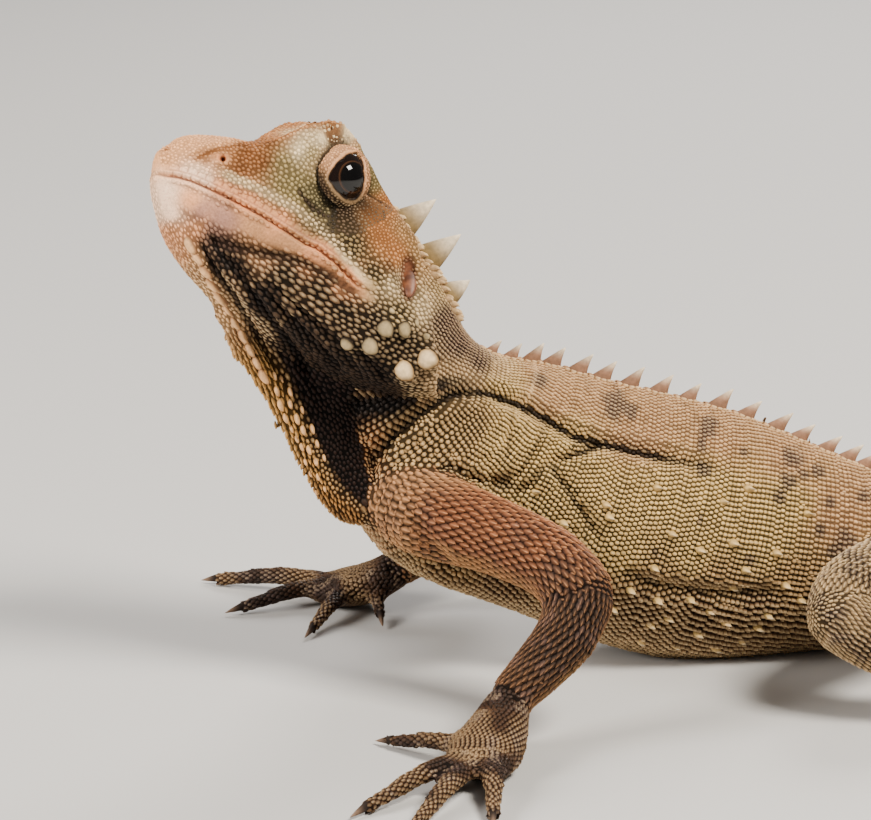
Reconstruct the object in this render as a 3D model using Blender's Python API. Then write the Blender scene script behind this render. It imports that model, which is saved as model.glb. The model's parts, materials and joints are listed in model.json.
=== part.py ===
"""Young forest dragon, a still life-size model of the whole lizard.

The animal faces -X, with its left side towards -Y, and rests on the floor at z = 0.
Shapes are worked out in millimetres and become metres when each object is finished.
The head is drawn in its own frame: p runs back from the tip of the snout along the
mouth, q out to the side, and h up from the mouth line.
"""
import math
import random
from bisect import bisect_right

import bpy
import bmesh
from mathutils import Matrix, Vector
from mathutils.bvhtree import BVHTree

RANDOM_SEED = 7

# Sizes shared by every piece, in millimetres
MM = 0.001
GAP = 0.3
BODY_SIDES = 22
TAIL_SIDES = 12
LIMB_SIDES = 10
TOE_SIDES = 6
TOE_STATIONS = 5
FLOOR_DEPTH = 6.0
FLOOR_MARGIN = 5.0
SMOOTH_ANGLE = 42.0

# The trunk's middle line: x, y, z, reach above, reach below, half width, belly fullness
TRUNK = (
    (-13.0, -2.4, 52.0, 9.7, 6.0, 6.1, 2.0),
    (-7.0, -2.0, 45.0, 9.0, 9.0, 6.9, 2.0),
    (-1.0, -1.2, 37.0, 7.4, 14.6, 8.0, 2.2),
    (5.0, 0.0, 29.5, 12.0, 18.6, 10.0, 2.7),
    (15.0, 0.0, 23.0, 14.2, 17.0, 10.8, 2.4),
    (33.0, 0.0, 16.2, 15.4, 17.2, 12.2, 2.15),
    (50.0, 0.0, 12.0, 12.3, 12.9, 10.4, 2.15),
    (62.0, 0.2, 9.8, 9.2, 10.4, 8.4, 2.1),
    (74.0, 1.2, 7.4, 6.6, 7.9, 6.0, 2.0),
    (92.0, 4.5, 5.9, 5.2, 6.2, 4.9, 2.0),
    (122.0, 11.5, 4.7, 4.1, 5.0, 4.0, 2.0),
    (152.0, 13.0, 3.8, 3.3, 4.1, 3.3, 2.0),
    (186.0, 5.5, 3.0, 2.6, 3.3, 2.6, 2.0),
    (220.0, -7.5, 2.3, 2.0, 2.6, 2.0, 2.0),
    (252.0, -14.0, 1.7, 1.5, 2.0, 1.5, 2.0),
    (286.0, -10.0, 1.2, 1.0, 1.5, 1.1, 2.0),
    (312.0, 0.0, 0.8, 0.6, 1.1, 0.7, 2.0),
)
BACK_ROUNDNESS = 1.62
NECK_END = 22.0
TORSO_END = 104.0
TAIL_PARTS = 4
BODY_STEP = 3.4
TAIL_STEP = 9.0

# The head's place and turn on the neck
HEAD_ORIGIN = (-33.9, -3.8, 63.1)
HEAD_YAW = 3.0
HEAD_PITCH = 31.0
HEAD_ROLL = -12.0
HEAD_SCALE = 0.95

# Lines along one side of the head, each point p, q, h
CROWN = ((-2.1, 0, 3.4), (-0.4, 0, 6.2), (2.2, 0, 8.0), (5.7, 0, 9.3), (8, 0, 9.9), (10.5, 0, 10.7),
         (13, 0, 12.4), (16, 0, 14.3), (19, 0, 14.4), (22, 0, 13.2), (25, 0, 11.8), (30, 0, 9.5),
         (46, 0, 2))
RIDGE = ((-1.6, 1.4, 3.9), (0, 2.2, 5.6), (2, 3, 6.5), (5, 4, 7.7), (8, 4.8, 9.2), (10.4, 5.6, 11.6),
         (12, 6.2, 14), (13.8, 6.8, 16.2), (15.8, 7.4, 17), (18.3, 7.8, 16.3), (20.5, 8, 14.8),
         (22.5, 8, 13), (25, 7.9, 11.4), (28, 7.9, 9.8), (31, 8, 8.5), (46, 7, 1))
FACE = ((-1.2, 1.6, 2.5), (2, 3.4, 4), (4.3, 4.4, 4.6), (8, 5.6, 5.5), (12, 6.8, 7), (15, 7.6, 8.5),
        (19, 8.6, 8.5), (23, 9.2, 7.5), (27, 9.6, 6), (31, 9.9, 4.5), (46, 9, -3))
LIP = ((-0.8, 1.6, 0.4), (2, 3.9, 1.2), (4.3, 4.9, 1.8), (8, 6.2, 2.1), (12, 7.4, 2.3),
       (16, 8.3, 2), (20, 9, 1.5), (25, 9.7, 0.6), (31, 10.3, 0), (36, 10.3, -2), (46, 9, -4.4))
JAW_SIDE = ((0, 1.6, -1.4), (3, 3.6, -2.4), (8, 5.8, -3), (12, 7, -3.4), (20, 9, -4),
            (28, 10.2, -4.6), (34, 10.4, -5), (39, 10, -5.4), (46, 8, -5.6))
JAW_RIM = ((1.2, 1.2, -3.2), (4, 2.8, -5.4), (8, 4.2, -6.8), (14, 5.6, -7.6), (20, 7, -8.2),
           (28, 8.4, -9), (34, 8.6, -9.4), (38, 8.4, -9.1), (42, 7.4, -8), (46, 6, -7))
THROAT = ((1.5, 0, -3.8), (4, 0, -6.2), (8, 0, -8.5), (14, 0, -10.5), (20, 0, -11.5),
          (28, 0, -12), (34, 0, -11.8), (40, 0, -10), (46, 0, -8))
HEAD_LINES = (CROWN, RIDGE, FACE, LIP, JAW_SIDE, JAW_RIM, THROAT)
HEAD_RINGS = 26
FRONT_CROWDING = 1.25
SPAN_STEPS = 3
NOSE_ROUNDING = (0.6, 0.7)

# The cut between head and neck, from the nape to the corner of the jaw, as p, h
NAPE_CUT = ((28.0, 12.5), (43.5, -9.0))
# The mouth line, as p, h, back to its corner
MOUTH = ((-8, 0), (-2, 0), (0.8, 0.5), (3, 1.1), (5.2, 1.6), (9.3, 2.0), (14.6, 1.8),
         (20.8, 1.1), (24.6, 0.6), (25.8, -0.3))
JAW_BACK = ((27.5, -6.0), (28.5, -18.0), (-8, -18.0))
CUTTER_REACH = 40.0

# Eyes, ears and nostrils, placed in the head's frame
EYE_PLACE = (18.9, 5.5, 10.6)
EYE_RADIUS = 3.8
EYE_TILT = 31.0
LID_RADII = (4.35, 4.8, 5.3)
LID_OPENING = (2.15, 3.05)
LID_POINTS = 16
LID_CUT = (6.5, 14.0)
EAR_PLACE = (31.2, 10.3, 4.1)
EAR_RADII = (1.5, 1.3, 2.6)
DRUM_THICKNESS = 0.7
DRUM_SHARE = (0.6, 0.66)
NOSTRIL_PLACE = (4.3, 3.9, 5.8)
NOSTRIL_RADIUS = 0.55

# Enlarged scales at the corner of the jaw: p, h, radius
BOSSES = ((31.9, -3.3, 1.15), (34.1, -2.2, 1.2), (28.4, -7.3, 1.05), (31.3, -6.2, 1.15),
          (36.9, -7.3, 1.7), (38.8, -4.3, 1.7), (37.2, -1.6, 0.8))
BOSS_HEIGHT = 0.85
BOSS_ROOT = 0.9

# The throat fan: p, h and thickness along its free edge, and along its root
FAN_EDGE = ((6.5, -6.9, 1.6), (13.7, -11.2, 2.0), (19.4, -14.9, 2.4), (24.5, -17.7, 2.8),
            (29.8, -21.2, 3.2), (33.8, -23.6, 3.5), (37.6, -26.5, 3.7), (40.6, -28.3, 3.4),
            (42.8, -27.8, 2.4))
FAN_ROOT = ((8.0, -5.5, 2.2), (14.5, -7.0, 3.2), (21.0, -8.0, 4.2), (27.0, -9.0, 5.2),
            (33.0, -10.0, 6.0), (38.0, -11.0, 6.0), (42.0, -13.0, 6.0), (46.0, -17.0, 5.0),
            (48.0, -22.0, 4.0))
FAN_MEMBRANE = 1.5
FAN_STATIONS = 10
FAN_SPINES = 19
FAN_SPINE_WIDTH = 1.25
FAN_SPINE_HEIGHT = (0.9, 1.1)
FAN_SPINE_ROOT = 0.8

# Crest along the nape, the back and the tail
NAPE_SPINES = ((2.2, 4.9, 4.4), (7.4, 4.7, 4.2), (12.2, 2.9, 3.6))
CREST_START = 18.2
CREST_STEP = 3.55
CREST_HEIGHT = ((18, 0.8), (22, 1.2), (27, 2.1), (60, 2.45), (85, 2.2), (100, 1.7), (130, 1.0),
                (158, 0.6))
CREST_VARIATION = (0.93, 1.06)
CREST_LENGTH_LIMIT = 3.2
CREST_LEAN = 0.42
CREST_ROOT = 0.9
NAPE_THICKNESS = 1.9
NAPE_LEAN = 0.12
NAPE_ROOT = 1.2
NAPE_SCALE = 1.2

# Arms: x, y, z, radius, from inside the shoulder to the wrist; the elbow is a row number
ARM_LEFT = ((-5.0, -3.5, 24.5, 5.8), (-3.6, -9.6, 22.9, 5.6), (4.4, -17.0, 21.2, 4.7),
            (10.2, -23.0, 19.2, 4.4), (12.6, -26.3, 16.4, 4.3), (10.6, -28.6, 12.6, 3.9),
            (6.6, -30.4, 8.9, 3.3), (3.2, -32.0, 6.4, 2.8))
ARM_RIGHT = ((-5.0, 3.5, 24.5, 5.8), (-3.0, 9.6, 22.9, 5.6), (5.4, 16.8, 21.2, 4.7),
             (11.5, 22.0, 18.6, 4.4), (13.6, 24.3, 15.6, 4.3), (10.6, 24.0, 12.2, 3.9),
             (4.2, 22.0, 8.8, 3.3), (-1.2, 20.4, 6.4, 2.8))
# Legs, from inside the hip to the ankle
LEG_LEFT = ((64.0, -2.0, 10.5, 6.0), (60.0, -8.5, 12.0, 6.3), (52.5, -17.5, 13.4, 5.6),
            (46.5, -23.5, 13.8, 4.9), (44.0, -27.4, 12.4, 4.4), (48.0, -29.8, 9.9, 4.2),
            (58.0, -31.8, 7.2, 3.9), (68.0, -33.6, 5.0, 2.8))
JOINT_ROW = 4
LIMB_STEP = 2.6
DOME = ((0.5, 0.86), (0.85, 0.5))
# Palms and soles: x, y, z, half width, half thickness
PALM_LEFT = ((3.0, -32.4, 6.0, 2.8, 2.7), (1.0, -35.6, 3.9, 3.8, 2.7), (-1.0, -39.0, 2.45, 4.8, 2.7),
             (-2.8, -42.2, 1.75, 4.0, 2.0))
PALM_RIGHT = ((-1.4, 20.7, 6.0, 2.8, 2.7), (-4.2, 22.3, 3.9, 3.8, 2.7), (-7.2, 24.8, 2.45, 4.8, 2.7),
              (-9.8, 27.2, 1.75, 4.0, 2.0))
SOLE_LEFT = ((68.6, -34.0, 4.8, 2.8, 2.7), (68.4, -38.4, 3.4, 3.5, 2.8), (67.2, -43.4, 2.35, 4.2, 2.6),
             (66.0, -47.4, 1.75, 3.7, 2.0))
# Fingers and toes: root x, y, tip x, y, tip height, radius at the root
FINGERS_LEFT = ((0.6, -36.0, -0.6, -23.5, 0.9, 1.35), (-2.6, -37.6, -12.4, -27.6, 0.7, 1.45),
                (-4.0, -40.6, -19.0, -51.6, 0.7, 1.55), (-3.4, -42.6, -14.0, -59.0, 0.7, 1.6),
                (-0.6, -41.6, -3.8, -57.5, 0.7, 1.6))
FINGERS_RIGHT = ((-4.2, 22.8, -4.6, 13.0, 0.9, 1.35), (-7.6, 23.2, -15.2, 10.6, 0.7, 1.45),
                 (-9.8, 25.8, -24.2, 22.6, 0.7, 1.55), (-10.0, 28.2, -25.6, 37.4, 0.7, 1.6),
                 (-6.6, 27.6, 1.5, 39.0, 0.7, 1.6))
TOES_LEFT = ((64.4, -42.6, 56.0, -45.0, 0.7, 1.45), (64.2, -46.0, 53.6, -54.6, 0.7, 1.5),
             (65.0, -48.0, 55.6, -64.6, 0.7, 1.6), (66.6, -48.4, 62.6, -72.6, 0.7, 1.7),
             (69.8, -43.8, 79.4, -52.6, 0.7, 1.6))
PALM_RINGS = 5
TOE_ROOT_HEIGHT = 2.1
TOE_ARCH = 0.75
TOE_TAPER = 0.62
KNUCKLE = 0.07
CLAW_LENGTH = 2.6
CLAW_RADIUS = 0.62
CLAW_FLATNESS = 0.72
CLAW_BEND = 0.35
CLAW_DROP = 0.25
CLAW_TIP_DROP = 0.5
RIGHT_LEG_SHIFT = 2.5

# Colours, as red, green, blue, then the roughness
FLANK = (0.36, 0.25, 0.10, 0.62)
HEAD_SKIN = (0.42, 0.31, 0.19, 0.55)
THROAT_SKIN = (0.40, 0.27, 0.13, 0.6)
LIMB_SKIN = (0.22, 0.11, 0.055, 0.62)
TAIL_SKIN = (0.27, 0.17, 0.09, 0.64)
EYE_DARK = (0.012, 0.008, 0.006, 0.08)
DRUM_SKIN = (0.34, 0.13, 0.06, 0.55)


# Curves through key rows

def value_at(rows, x, column):
    """Read a column of a table at x, on a smooth curve through its rows."""
    places = [row[0] for row in rows]
    last = len(rows) - 1
    x = min(max(x, places[0]), places[last])
    low = max(0, min(last - 1, bisect_right(places, x) - 1))
    span = places[low + 1] - places[low]
    t = (x - places[low]) / span

    def slope(index):
        before = max(index - 1, 0)
        after = min(index + 1, last)
        return (rows[after][column] - rows[before][column]) / (places[after] - places[before])

    start = rows[low][column]
    end = rows[low + 1][column]
    rise = span * slope(low)
    fall = span * slope(low + 1)
    return (start * (1 + 2 * t) * (1 - t) ** 2 + rise * t * (1 - t) ** 2
            + end * t * t * (3 - 2 * t) + fall * t * t * (t - 1))


def by_length(rows):
    """Put the distance along x, y, z in front of each row."""
    table = []
    distance = 0.0
    for index, row in enumerate(rows):
        if index:
            distance += (Vector(row[:3]) - Vector(rows[index - 1][:3])).length
        table.append((distance,) + tuple(row))
    return table


class Route:
    """A smooth line through rows of x, y, z and the sizes carried along it."""

    def __init__(self, rows):
        self.table = by_length(rows)
        self.length = self.table[-1][0]

    def point(self, s):
        return Vector([value_at(self.table, s, column) for column in (1, 2, 3)])

    def size(self, s, index):
        return value_at(self.table, s, 4 + index)

    def frame(self, s, upwards=Vector((0, 0, 1))):
        """Give the middle, the way along, the way to the left and the way up."""
        step = 0.4
        along = (self.point(min(s + step, self.length)) - self.point(max(s - step, 0))).normalized()
        left = along.cross(upwards).normalized() * -1
        return self.point(s), along, left, left.cross(along).normalized() * -1

    def row_length(self, row):
        return self.table[row][0]


# Closed meshes

def new_object(name, bm):
    """Turn a bmesh into an object with its faces pointing out, in triangles."""
    bmesh.ops.recalc_face_normals(bm, faces=bm.faces)
    bmesh.ops.triangulate(bm, faces=bm.faces)
    mesh = bpy.data.meshes.new(name)
    bm.to_mesh(mesh)
    bm.free()
    piece = bpy.data.objects.new(name, mesh)
    bpy.context.scene.collection.objects.link(piece)
    return piece


def loft(name, rings, start_tip=None, end_tip=None):
    """Skin a row of rings, closed by a flat cap or by a tip at each end."""
    bm = bmesh.new()
    rows = [[bm.verts.new(point) for point in ring] for ring in rings]
    count = len(rings[0])
    for row, following in zip(rows, rows[1:]):
        for j in range(count):
            k = (j + 1) % count
            bm.faces.new((row[j], row[k], following[k], following[j]))
    for row, tip in ((rows[0], start_tip), (rows[-1], end_tip)):
        if tip is None:
            bm.faces.new(row)
            continue
        apex = bm.verts.new(tip)
        for j in range(count):
            bm.faces.new((row[j], row[(j + 1) % count], apex))
    return new_object(name, bm)


def ball(name, place, radii, segments, rings, tilt=0.0):
    """An ellipsoid with its poles along z, tilted about y by an angle in degrees."""
    bm = bmesh.new()
    bmesh.ops.create_uvsphere(bm, u_segments=segments, v_segments=rings, radius=1.0)
    bmesh.ops.scale(bm, vec=Vector(radii), verts=bm.verts)
    bmesh.ops.rotate(bm, matrix=Matrix.Rotation(math.radians(-tilt), 3, "Y"), verts=bm.verts)
    bmesh.ops.translate(bm, vec=Vector(place), verts=bm.verts)
    return new_object(name, bm)


def prism(name, outline, low, high):
    """A plate with an outline in x, z, from y = low to y = high."""
    rings = [[Vector((x, y, z)) for x, z in outline] for y in (low, high)]
    return loft(name, rings)


def drop(*pieces):
    for piece in pieces:
        mesh = piece.data
        bpy.data.objects.remove(piece)
        bpy.data.meshes.remove(mesh)


def copy_of(piece, name):
    twin = piece.copy()
    twin.data = piece.data.copy()
    twin.name = name
    bpy.context.scene.collection.objects.link(twin)
    return twin


def grown(piece, gap=GAP):
    """A copy whose surface lies a gap further out, to cut a neighbour with."""
    twin = copy_of(piece, piece.name + " grown")
    bm = bmesh.new()
    bm.from_mesh(twin.data)
    bm.normal_update()
    moves = [(vert, vert.normal * gap) for vert in bm.verts]
    for vert, move in moves:
        vert.co += move
    bm.to_mesh(twin.data)
    bm.free()
    return twin


def apply_modifiers(piece):
    graph = bpy.context.evaluated_depsgraph_get()
    mesh = bpy.data.meshes.new_from_object(piece.evaluated_get(graph))
    piece.modifiers.clear()
    old = piece.data
    piece.data = mesh
    bpy.data.meshes.remove(old)


def largest_body(piece):
    """Keep the biggest closed surface of a mesh, in triangles."""
    bm = bmesh.new()
    bm.from_mesh(piece.data)
    bmesh.ops.triangulate(bm, faces=bm.faces)
    left = set(bm.verts)
    groups = []
    while left:
        seed = left.pop()
        group = {seed}
        waiting = [seed]
        while waiting:
            vert = waiting.pop()
            for edge in vert.link_edges:
                other = edge.other_vert(vert)
                if other not in group:
                    group.add(other)
                    waiting.append(other)
        left -= group
        groups.append(group)
    groups.sort(key=spread, reverse=True)
    loose = [vert for group in groups[1:] for vert in group]
    bmesh.ops.delete(bm, geom=loose, context="VERTS")
    bm.to_mesh(piece.data)
    bm.free()


def spread(group):
    """The size of the box round a group of points."""
    lows = [min(vert.co[axis] for vert in group) for axis in range(3)]
    highs = [max(vert.co[axis] for vert in group) for axis in range(3)]
    return sum(high - low for high, low in zip(highs, lows))


def combine(piece, others, operation):
    """Join the others to a piece, or cut them from it, and take the others away."""
    group = bpy.data.collections.new(piece.name + " pieces")
    for other in others:
        group.objects.link(other)
    change = piece.modifiers.new("combine", "BOOLEAN")
    change.operation = operation
    change.operand_type = "COLLECTION"
    change.collection = group
    change.solver = "EXACT"
    apply_modifiers(piece)
    drop(*others)
    bpy.data.collections.remove(group)
    largest_body(piece)
    return piece


def join(piece, others):
    return combine(piece, others, "UNION")


def cut(piece, cutters):
    for cutter in cutters:
        combine(piece, [cutter], "DIFFERENCE")
    return piece


def floor_cut(piece):
    """Give what touches the floor a small flat at z = 0."""
    corners = [piece.matrix_world @ Vector(corner) for corner in piece.bound_box]
    if min(corner.z for corner in corners) > -MM:
        return piece
    low = [min(corner[axis] for corner in corners) - FLOOR_MARGIN for axis in range(2)]
    high = [max(corner[axis] for corner in corners) + FLOOR_MARGIN for axis in range(2)]
    outline = ((low[0], -FLOOR_DEPTH), (high[0], -FLOOR_DEPTH), (high[0], 0), (low[0], 0))
    return cut(piece, [prism("floor", outline, low[1], high[1])])


def finish(piece, name, finish_values):
    """Name a node, give it its material and turn its millimetres into metres."""
    piece.name = name
    piece.data.name = name
    piece.data.transform(Matrix.Scale(MM, 4))
    material = bpy.data.materials.new(name)
    material.use_nodes = True
    shader = material.node_tree.nodes["Principled BSDF"]
    shader.inputs["Base Color"].default_value = tuple(finish_values[:3]) + (1.0,)
    shader.inputs["Roughness"].default_value = finish_values[3]
    piece.data.materials.clear()
    piece.data.materials.append(material)
    piece.data.shade_smooth()
    piece.data.set_sharp_from_angle(angle=math.radians(SMOOTH_ANGLE))
    return piece


# Spines and raised scales. Each profile above the root holds rows of height, width
# and, for a blade, how far it has leant back, as shares of the whole.

BLADE_PROFILE = ((0.12, 0.86, 0.04), (0.62, 0.42, 0.5))
TUBERCLE_PROFILE = ((0.15, 0.92), (0.6, 0.5))
BOSS_PROFILE = ((0.45, 0.94), (0.88, 0.55))
TUBERCLE_SIDES = 5
BOSS_SIDES = 7


def rising(profile, height, sink):
    """The rows of a profile at their real heights, after a root below the skin."""
    first = (-sink, 1.0) + (0.0,) * (len(profile[0]) - 2)
    return [first] + [(row[0] * height,) + row[1:] for row in profile]


def circle(middle, first, second, radius, sides):
    """Points round a circle that two directions span."""
    return [middle + (first * math.cos(turn) + second * math.sin(turn)) * radius
            for turn in (math.tau * k / sides for k in range(sides))]


def blade(root, along, up, side, length, height, thickness, lean, sink):
    """A flat spine with its tip leaning back along the body."""
    rings = []
    for lift, shrink, back in rising(BLADE_PROFILE, height, sink):
        middle = root + up * lift + along * (lean * back)
        reach = length * 0.5 * shrink
        wide = thickness * 0.5 * shrink
        rings.append([middle - along * reach, middle + side * wide,
                      middle + along * reach, middle - side * wide])
    return loft("spine", rings, end_tip=root + up * height + along * lean)


def tubercle(root, out, width, height, bend, sink):
    """A small pointed scale that stands out from the skin and bends over."""
    first = out.orthogonal().normalized()
    second = out.cross(first).normalized()
    rings = []
    for lift, shrink in rising(TUBERCLE_PROFILE, height, sink):
        middle = root + out * lift + bend * max(lift, 0) * 0.5
        rings.append(circle(middle, first, second, width * 0.5 * shrink, TUBERCLE_SIDES))
    return loft("tubercle", rings, end_tip=root + out * height + bend * height)


def boss(root, out, radius, height):
    """A low dome, as the pale round scales on the jaw are."""
    first = out.orthogonal().normalized()
    second = out.cross(first).normalized()
    rings = [circle(root + out * lift, first, second, radius * shrink, BOSS_SIDES)
             for lift, shrink in rising(BOSS_PROFILE, height, BOSS_ROOT)]
    return loft("boss", rings, end_tip=root + out * height)


# The trunk: neck, torso and tail are lengths of one tube

SPINE_LINE = Route(TRUNK)


def body_ring(s, sides):
    """One cross-section: narrow like a roof above, rounder below."""
    middle, _, left, up = SPINE_LINE.frame(s)
    above, below, half = [SPINE_LINE.size(s, index) for index in range(3)]
    ring = []
    for k in range(sides):
        turn = math.tau * (k + 0.5) / sides
        across = math.cos(turn)
        rise = math.sin(turn)
        power = 2 / (BACK_ROUNDNESS if rise > 0 else SPINE_LINE.size(s, 3))
        reach = above if rise > 0 else below
        ring.append(middle + left * half * math.copysign(abs(across) ** power, across)
                    + up * reach * math.copysign(abs(rise) ** power, rise))
    return ring


def body_length(name, start, end, step, sides=BODY_SIDES):
    count = max(2, round((end - start) / step))
    stations = [start + (end - start) * k / count for k in range(count + 1)]
    return loft(name, [body_ring(s, sides) for s in stations])


def crest(start, end):
    """Spines along the ridge of the back between two distances along the trunk."""
    spines = []
    s = CREST_START
    while s < end - CREST_STEP * 0.5:
        if s > start + CREST_STEP * 0.5:
            height = value_at(CREST_HEIGHT, s, 1) * random.uniform(*CREST_VARIATION)
            middle, along, left, up = SPINE_LINE.frame(s)
            root = middle + up * (SPINE_LINE.size(s, 0) - GAP / 2)
            length = min(CREST_LENGTH_LIMIT, height * 1.3 + 0.2)
            thickness = 0.9 + 0.12 * height
            sink = min(CREST_ROOT, SPINE_LINE.size(s, 0) * 0.5)
            spines.append(blade(root, along, up, left, length, height, thickness,
                                length * CREST_LEAN, sink))
        s += CREST_STEP
    return spines


def nape_spines():
    """The three tall, separate spines of the nape with small ones between them."""
    spines = []
    for s, height, length in NAPE_SPINES:
        middle, along, left, up = SPINE_LINE.frame(s)
        root = middle + up * (SPINE_LINE.size(s, 0) - GAP / 2)
        spines.append(blade(root, along, up, left, length, height, NAPE_THICKNESS,
                            height * NAPE_LEAN, NAPE_ROOT))
        for side in (-1, 1):
            low = root + left * side * 1.7 - up * 0.9 + along * 2.2
            out = (up + left * side * 0.8).normalized()
            spines.append(tubercle(low, out, NAPE_SCALE, NAPE_SCALE, along * 0.2, NAPE_ROOT * 0.5))
    return spines


def make_trunk():
    """Neck, torso and tail, each a length of the tube with a thin gap between."""
    neck = body_length("neck", 0.0, NECK_END - GAP / 2, BODY_STEP * 0.75)
    torso = body_length("torso", NECK_END + GAP / 2, TORSO_END - GAP / 2, BODY_STEP)
    join(torso, crest(NECK_END, TORSO_END))
    pieces = [neck, torso]
    part_length = (SPINE_LINE.length - TORSO_END) / TAIL_PARTS
    for number in range(TAIL_PARTS):
        start = TORSO_END + number * part_length + GAP / 2
        end = TORSO_END + (number + 1) * part_length - (GAP / 2 if number < TAIL_PARTS - 1 else 0)
        piece = body_length("tail_%d" % (number + 1), start, end, TAIL_STEP, TAIL_SIDES)
        spines = crest(start, min(end, CREST_HEIGHT[-1][0]))
        if spines:
            join(piece, spines)
        pieces.append(piece)
    return pieces


# The head, in its own frame

HEAD_TURN = (Matrix.Translation(HEAD_ORIGIN)
             @ Matrix.Rotation(math.radians(HEAD_YAW), 4, "Z")
             @ Matrix.Rotation(math.radians(HEAD_PITCH), 4, "Y")
             @ Matrix.Rotation(math.radians(HEAD_ROLL), 4, "X")
             @ Matrix.Scale(HEAD_SCALE, 4))
HEAD_BACK = HEAD_TURN.inverted()


def line_point(line, t):
    """A point on a line of the head, t running from its front end to its back end."""
    p = line[0][0] + (line[-1][0] - line[0][0]) * t
    return Vector((p, value_at(line, p, 1), value_at(line, p, 2)))


def smooth_half(points):
    """Points on a smooth curve through the lines, from the crown to the throat."""
    rows = [(index, point.x, point.y, point.z) for index, point in enumerate(points)]
    steps = (len(points) - 1) * SPAN_STEPS
    curve = []
    for k in range(steps + 1):
        place = k / SPAN_STEPS
        curve.append(Vector([value_at(rows, place, column) for column in (1, 2, 3)]))
    curve[0].y = 0.0
    curve[-1].y = 0.0
    return curve


def head_ring(t):
    left = smooth_half([line_point(line, t) for line in HEAD_LINES])
    right = [Vector((point.x, -point.y, point.z)) for point in left[1:-1]]
    return [Vector((point.x, -point.y, point.z)) for point in left] + [
        Vector((point.x, -point.y, point.z)) for point in reversed(right)]


def head_form():
    """The whole head with its jaw, closed, still in its own frame."""
    places = [(k / HEAD_RINGS) ** FRONT_CROWDING for k in range(HEAD_RINGS + 1)]
    rings = [head_ring(t) for t in places]
    middle = sum(rings[0], Vector()) / len(rings[0])
    shrink, forward = NOSE_ROUNDING
    nose = [middle + (point - middle) * shrink + Vector((-forward, 0, 0)) for point in rings[0]]
    return loft("head form", [nose] + rings)


def side_place(place, side):
    """A point of the head's frame on its left (1) or right (-1) side."""
    p, q, h = place
    return Vector((p, -q * side, h))


def behind_the_nape(gap=0.0):
    """A block that holds all that lies behind the cut between head and neck."""
    (p1, h1), (p2, h2) = NAPE_CUT
    slant = Vector((p2 - p1, h2 - h1)).normalized()
    back = Vector((-slant.y, slant.x)) * gap
    top = Vector((p1, h1)) - slant * CUTTER_REACH + back
    low = Vector((p2, h2)) + slant * CUTTER_REACH + back
    beyond_head = Vector((CUTTER_REACH, 0))
    outline = (top, low, low + beyond_head, top + beyond_head)
    return prism("behind the nape", outline, -CUTTER_REACH, CUTTER_REACH)


def mouth_block(gap):
    """The space under the mouth line, a gap larger for the cut that clears the jaw."""
    outline = [(p, h + gap) for p, h in MOUTH]
    outline += [(p + gap, h) for p, h in JAW_BACK[:2]]
    outline.append(JAW_BACK[2])
    return prism("mouth", outline, -CUTTER_REACH, CUTTER_REACH)


def tree_of(piece):
    bm = bmesh.new()
    bm.from_mesh(piece.data)
    tree = BVHTree.FromBMesh(bm)
    bm.free()
    return tree


def make_bosses(skin, side):
    scales = []
    for p, h, radius in BOSSES:
        start = side_place((p, CUTTER_REACH, h), side)
        root, out, _, _ = skin.ray_cast(start, Vector((0, side, 0)))
        scales.append(boss(root, out, radius, BOSS_HEIGHT * radius))
    return scales


def eye_opening(side):
    """An upright oval that opens the lids."""
    p, _, h = EYE_PLACE
    lean = Matrix.Rotation(math.radians(EYE_TILT), 2)
    outline = []
    for k in range(LID_POINTS):
        turn = math.tau * k / LID_POINTS
        across, rise = lean @ Vector((LID_OPENING[0] * math.cos(turn), LID_OPENING[1] * math.sin(turn)))
        outline.append((p + across, h + rise))
    return prism("lid opening", outline, *sorted(-side * q for q in LID_CUT))


def make_head():
    """Head, jaw, eyes and ear drums, and the room that head and jaw take with their gap."""
    whole = head_form()
    skin = tree_of(whole)
    jaw = copy_of(whole, "jaw")
    keep = mouth_block(0.0)
    combine(jaw, [keep], "INTERSECT")
    head = copy_of(whole, "head")
    lids = [ball("lid", side_place(EYE_PLACE, side), LID_RADII, LID_POINTS, 10, EYE_TILT)
            for side in (1, -1)]
    scales = make_bosses(skin, 1) + make_bosses(skin, -1)
    join(head, lids + scales)
    cut(head, [mouth_block(GAP / HEAD_SCALE), behind_the_nape()])
    pieces = {"head": head, "jaw": jaw}
    for side, word in ((1, "left"), (-1, "right")):
        socket = EYE_RADIUS + GAP / HEAD_SCALE
        eye = side_place(EYE_PLACE, side)
        cut(head, [eye_opening(side), ball("socket", eye, (socket,) * 3, 14, 8)])
        cut(head, [ball("ear cup", side_place(EAR_PLACE, side), EAR_RADII, 12, 8)])
        cut(head, [ball("nostril", side_place(NOSTRIL_PLACE, side), (NOSTRIL_RADIUS,) * 3, 8, 6)])
        pieces["eye_" + word] = ball("eye", eye, (EYE_RADIUS,) * 3, 14, 8)
        p, q, h = EAR_PLACE
        clear = GAP / HEAD_SCALE
        thick = DRUM_THICKNESS * 0.5
        depth = q - EAR_RADII[1] + clear + thick
        drum_radii = (EAR_RADII[0] * DRUM_SHARE[0], thick, EAR_RADII[2] * DRUM_SHARE[1])
        pieces["ear_" + word] = ball("ear", side_place((p, depth, h), side), drum_radii, 10, 6)
    room = grown(whole, GAP / HEAD_SCALE)
    drop(whole)
    cut(room, [behind_the_nape(GAP / HEAD_SCALE)])
    for piece in list(pieces.values()) + [room]:
        piece.data.transform(HEAD_TURN)
    return pieces, room


# The throat fan

def fan_sections(edge, root):
    """Half the thickness of the fan at shares of the way from its root to its edge."""
    membrane = max(FAN_MEMBRANE, root[2] * 0.4)
    return ((0.0, root[2] / 2), (0.34, membrane / 2), (0.62, edge[2] * 0.45), (0.84, edge[2] / 2),
            (0.96, edge[2] * 0.3))


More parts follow.
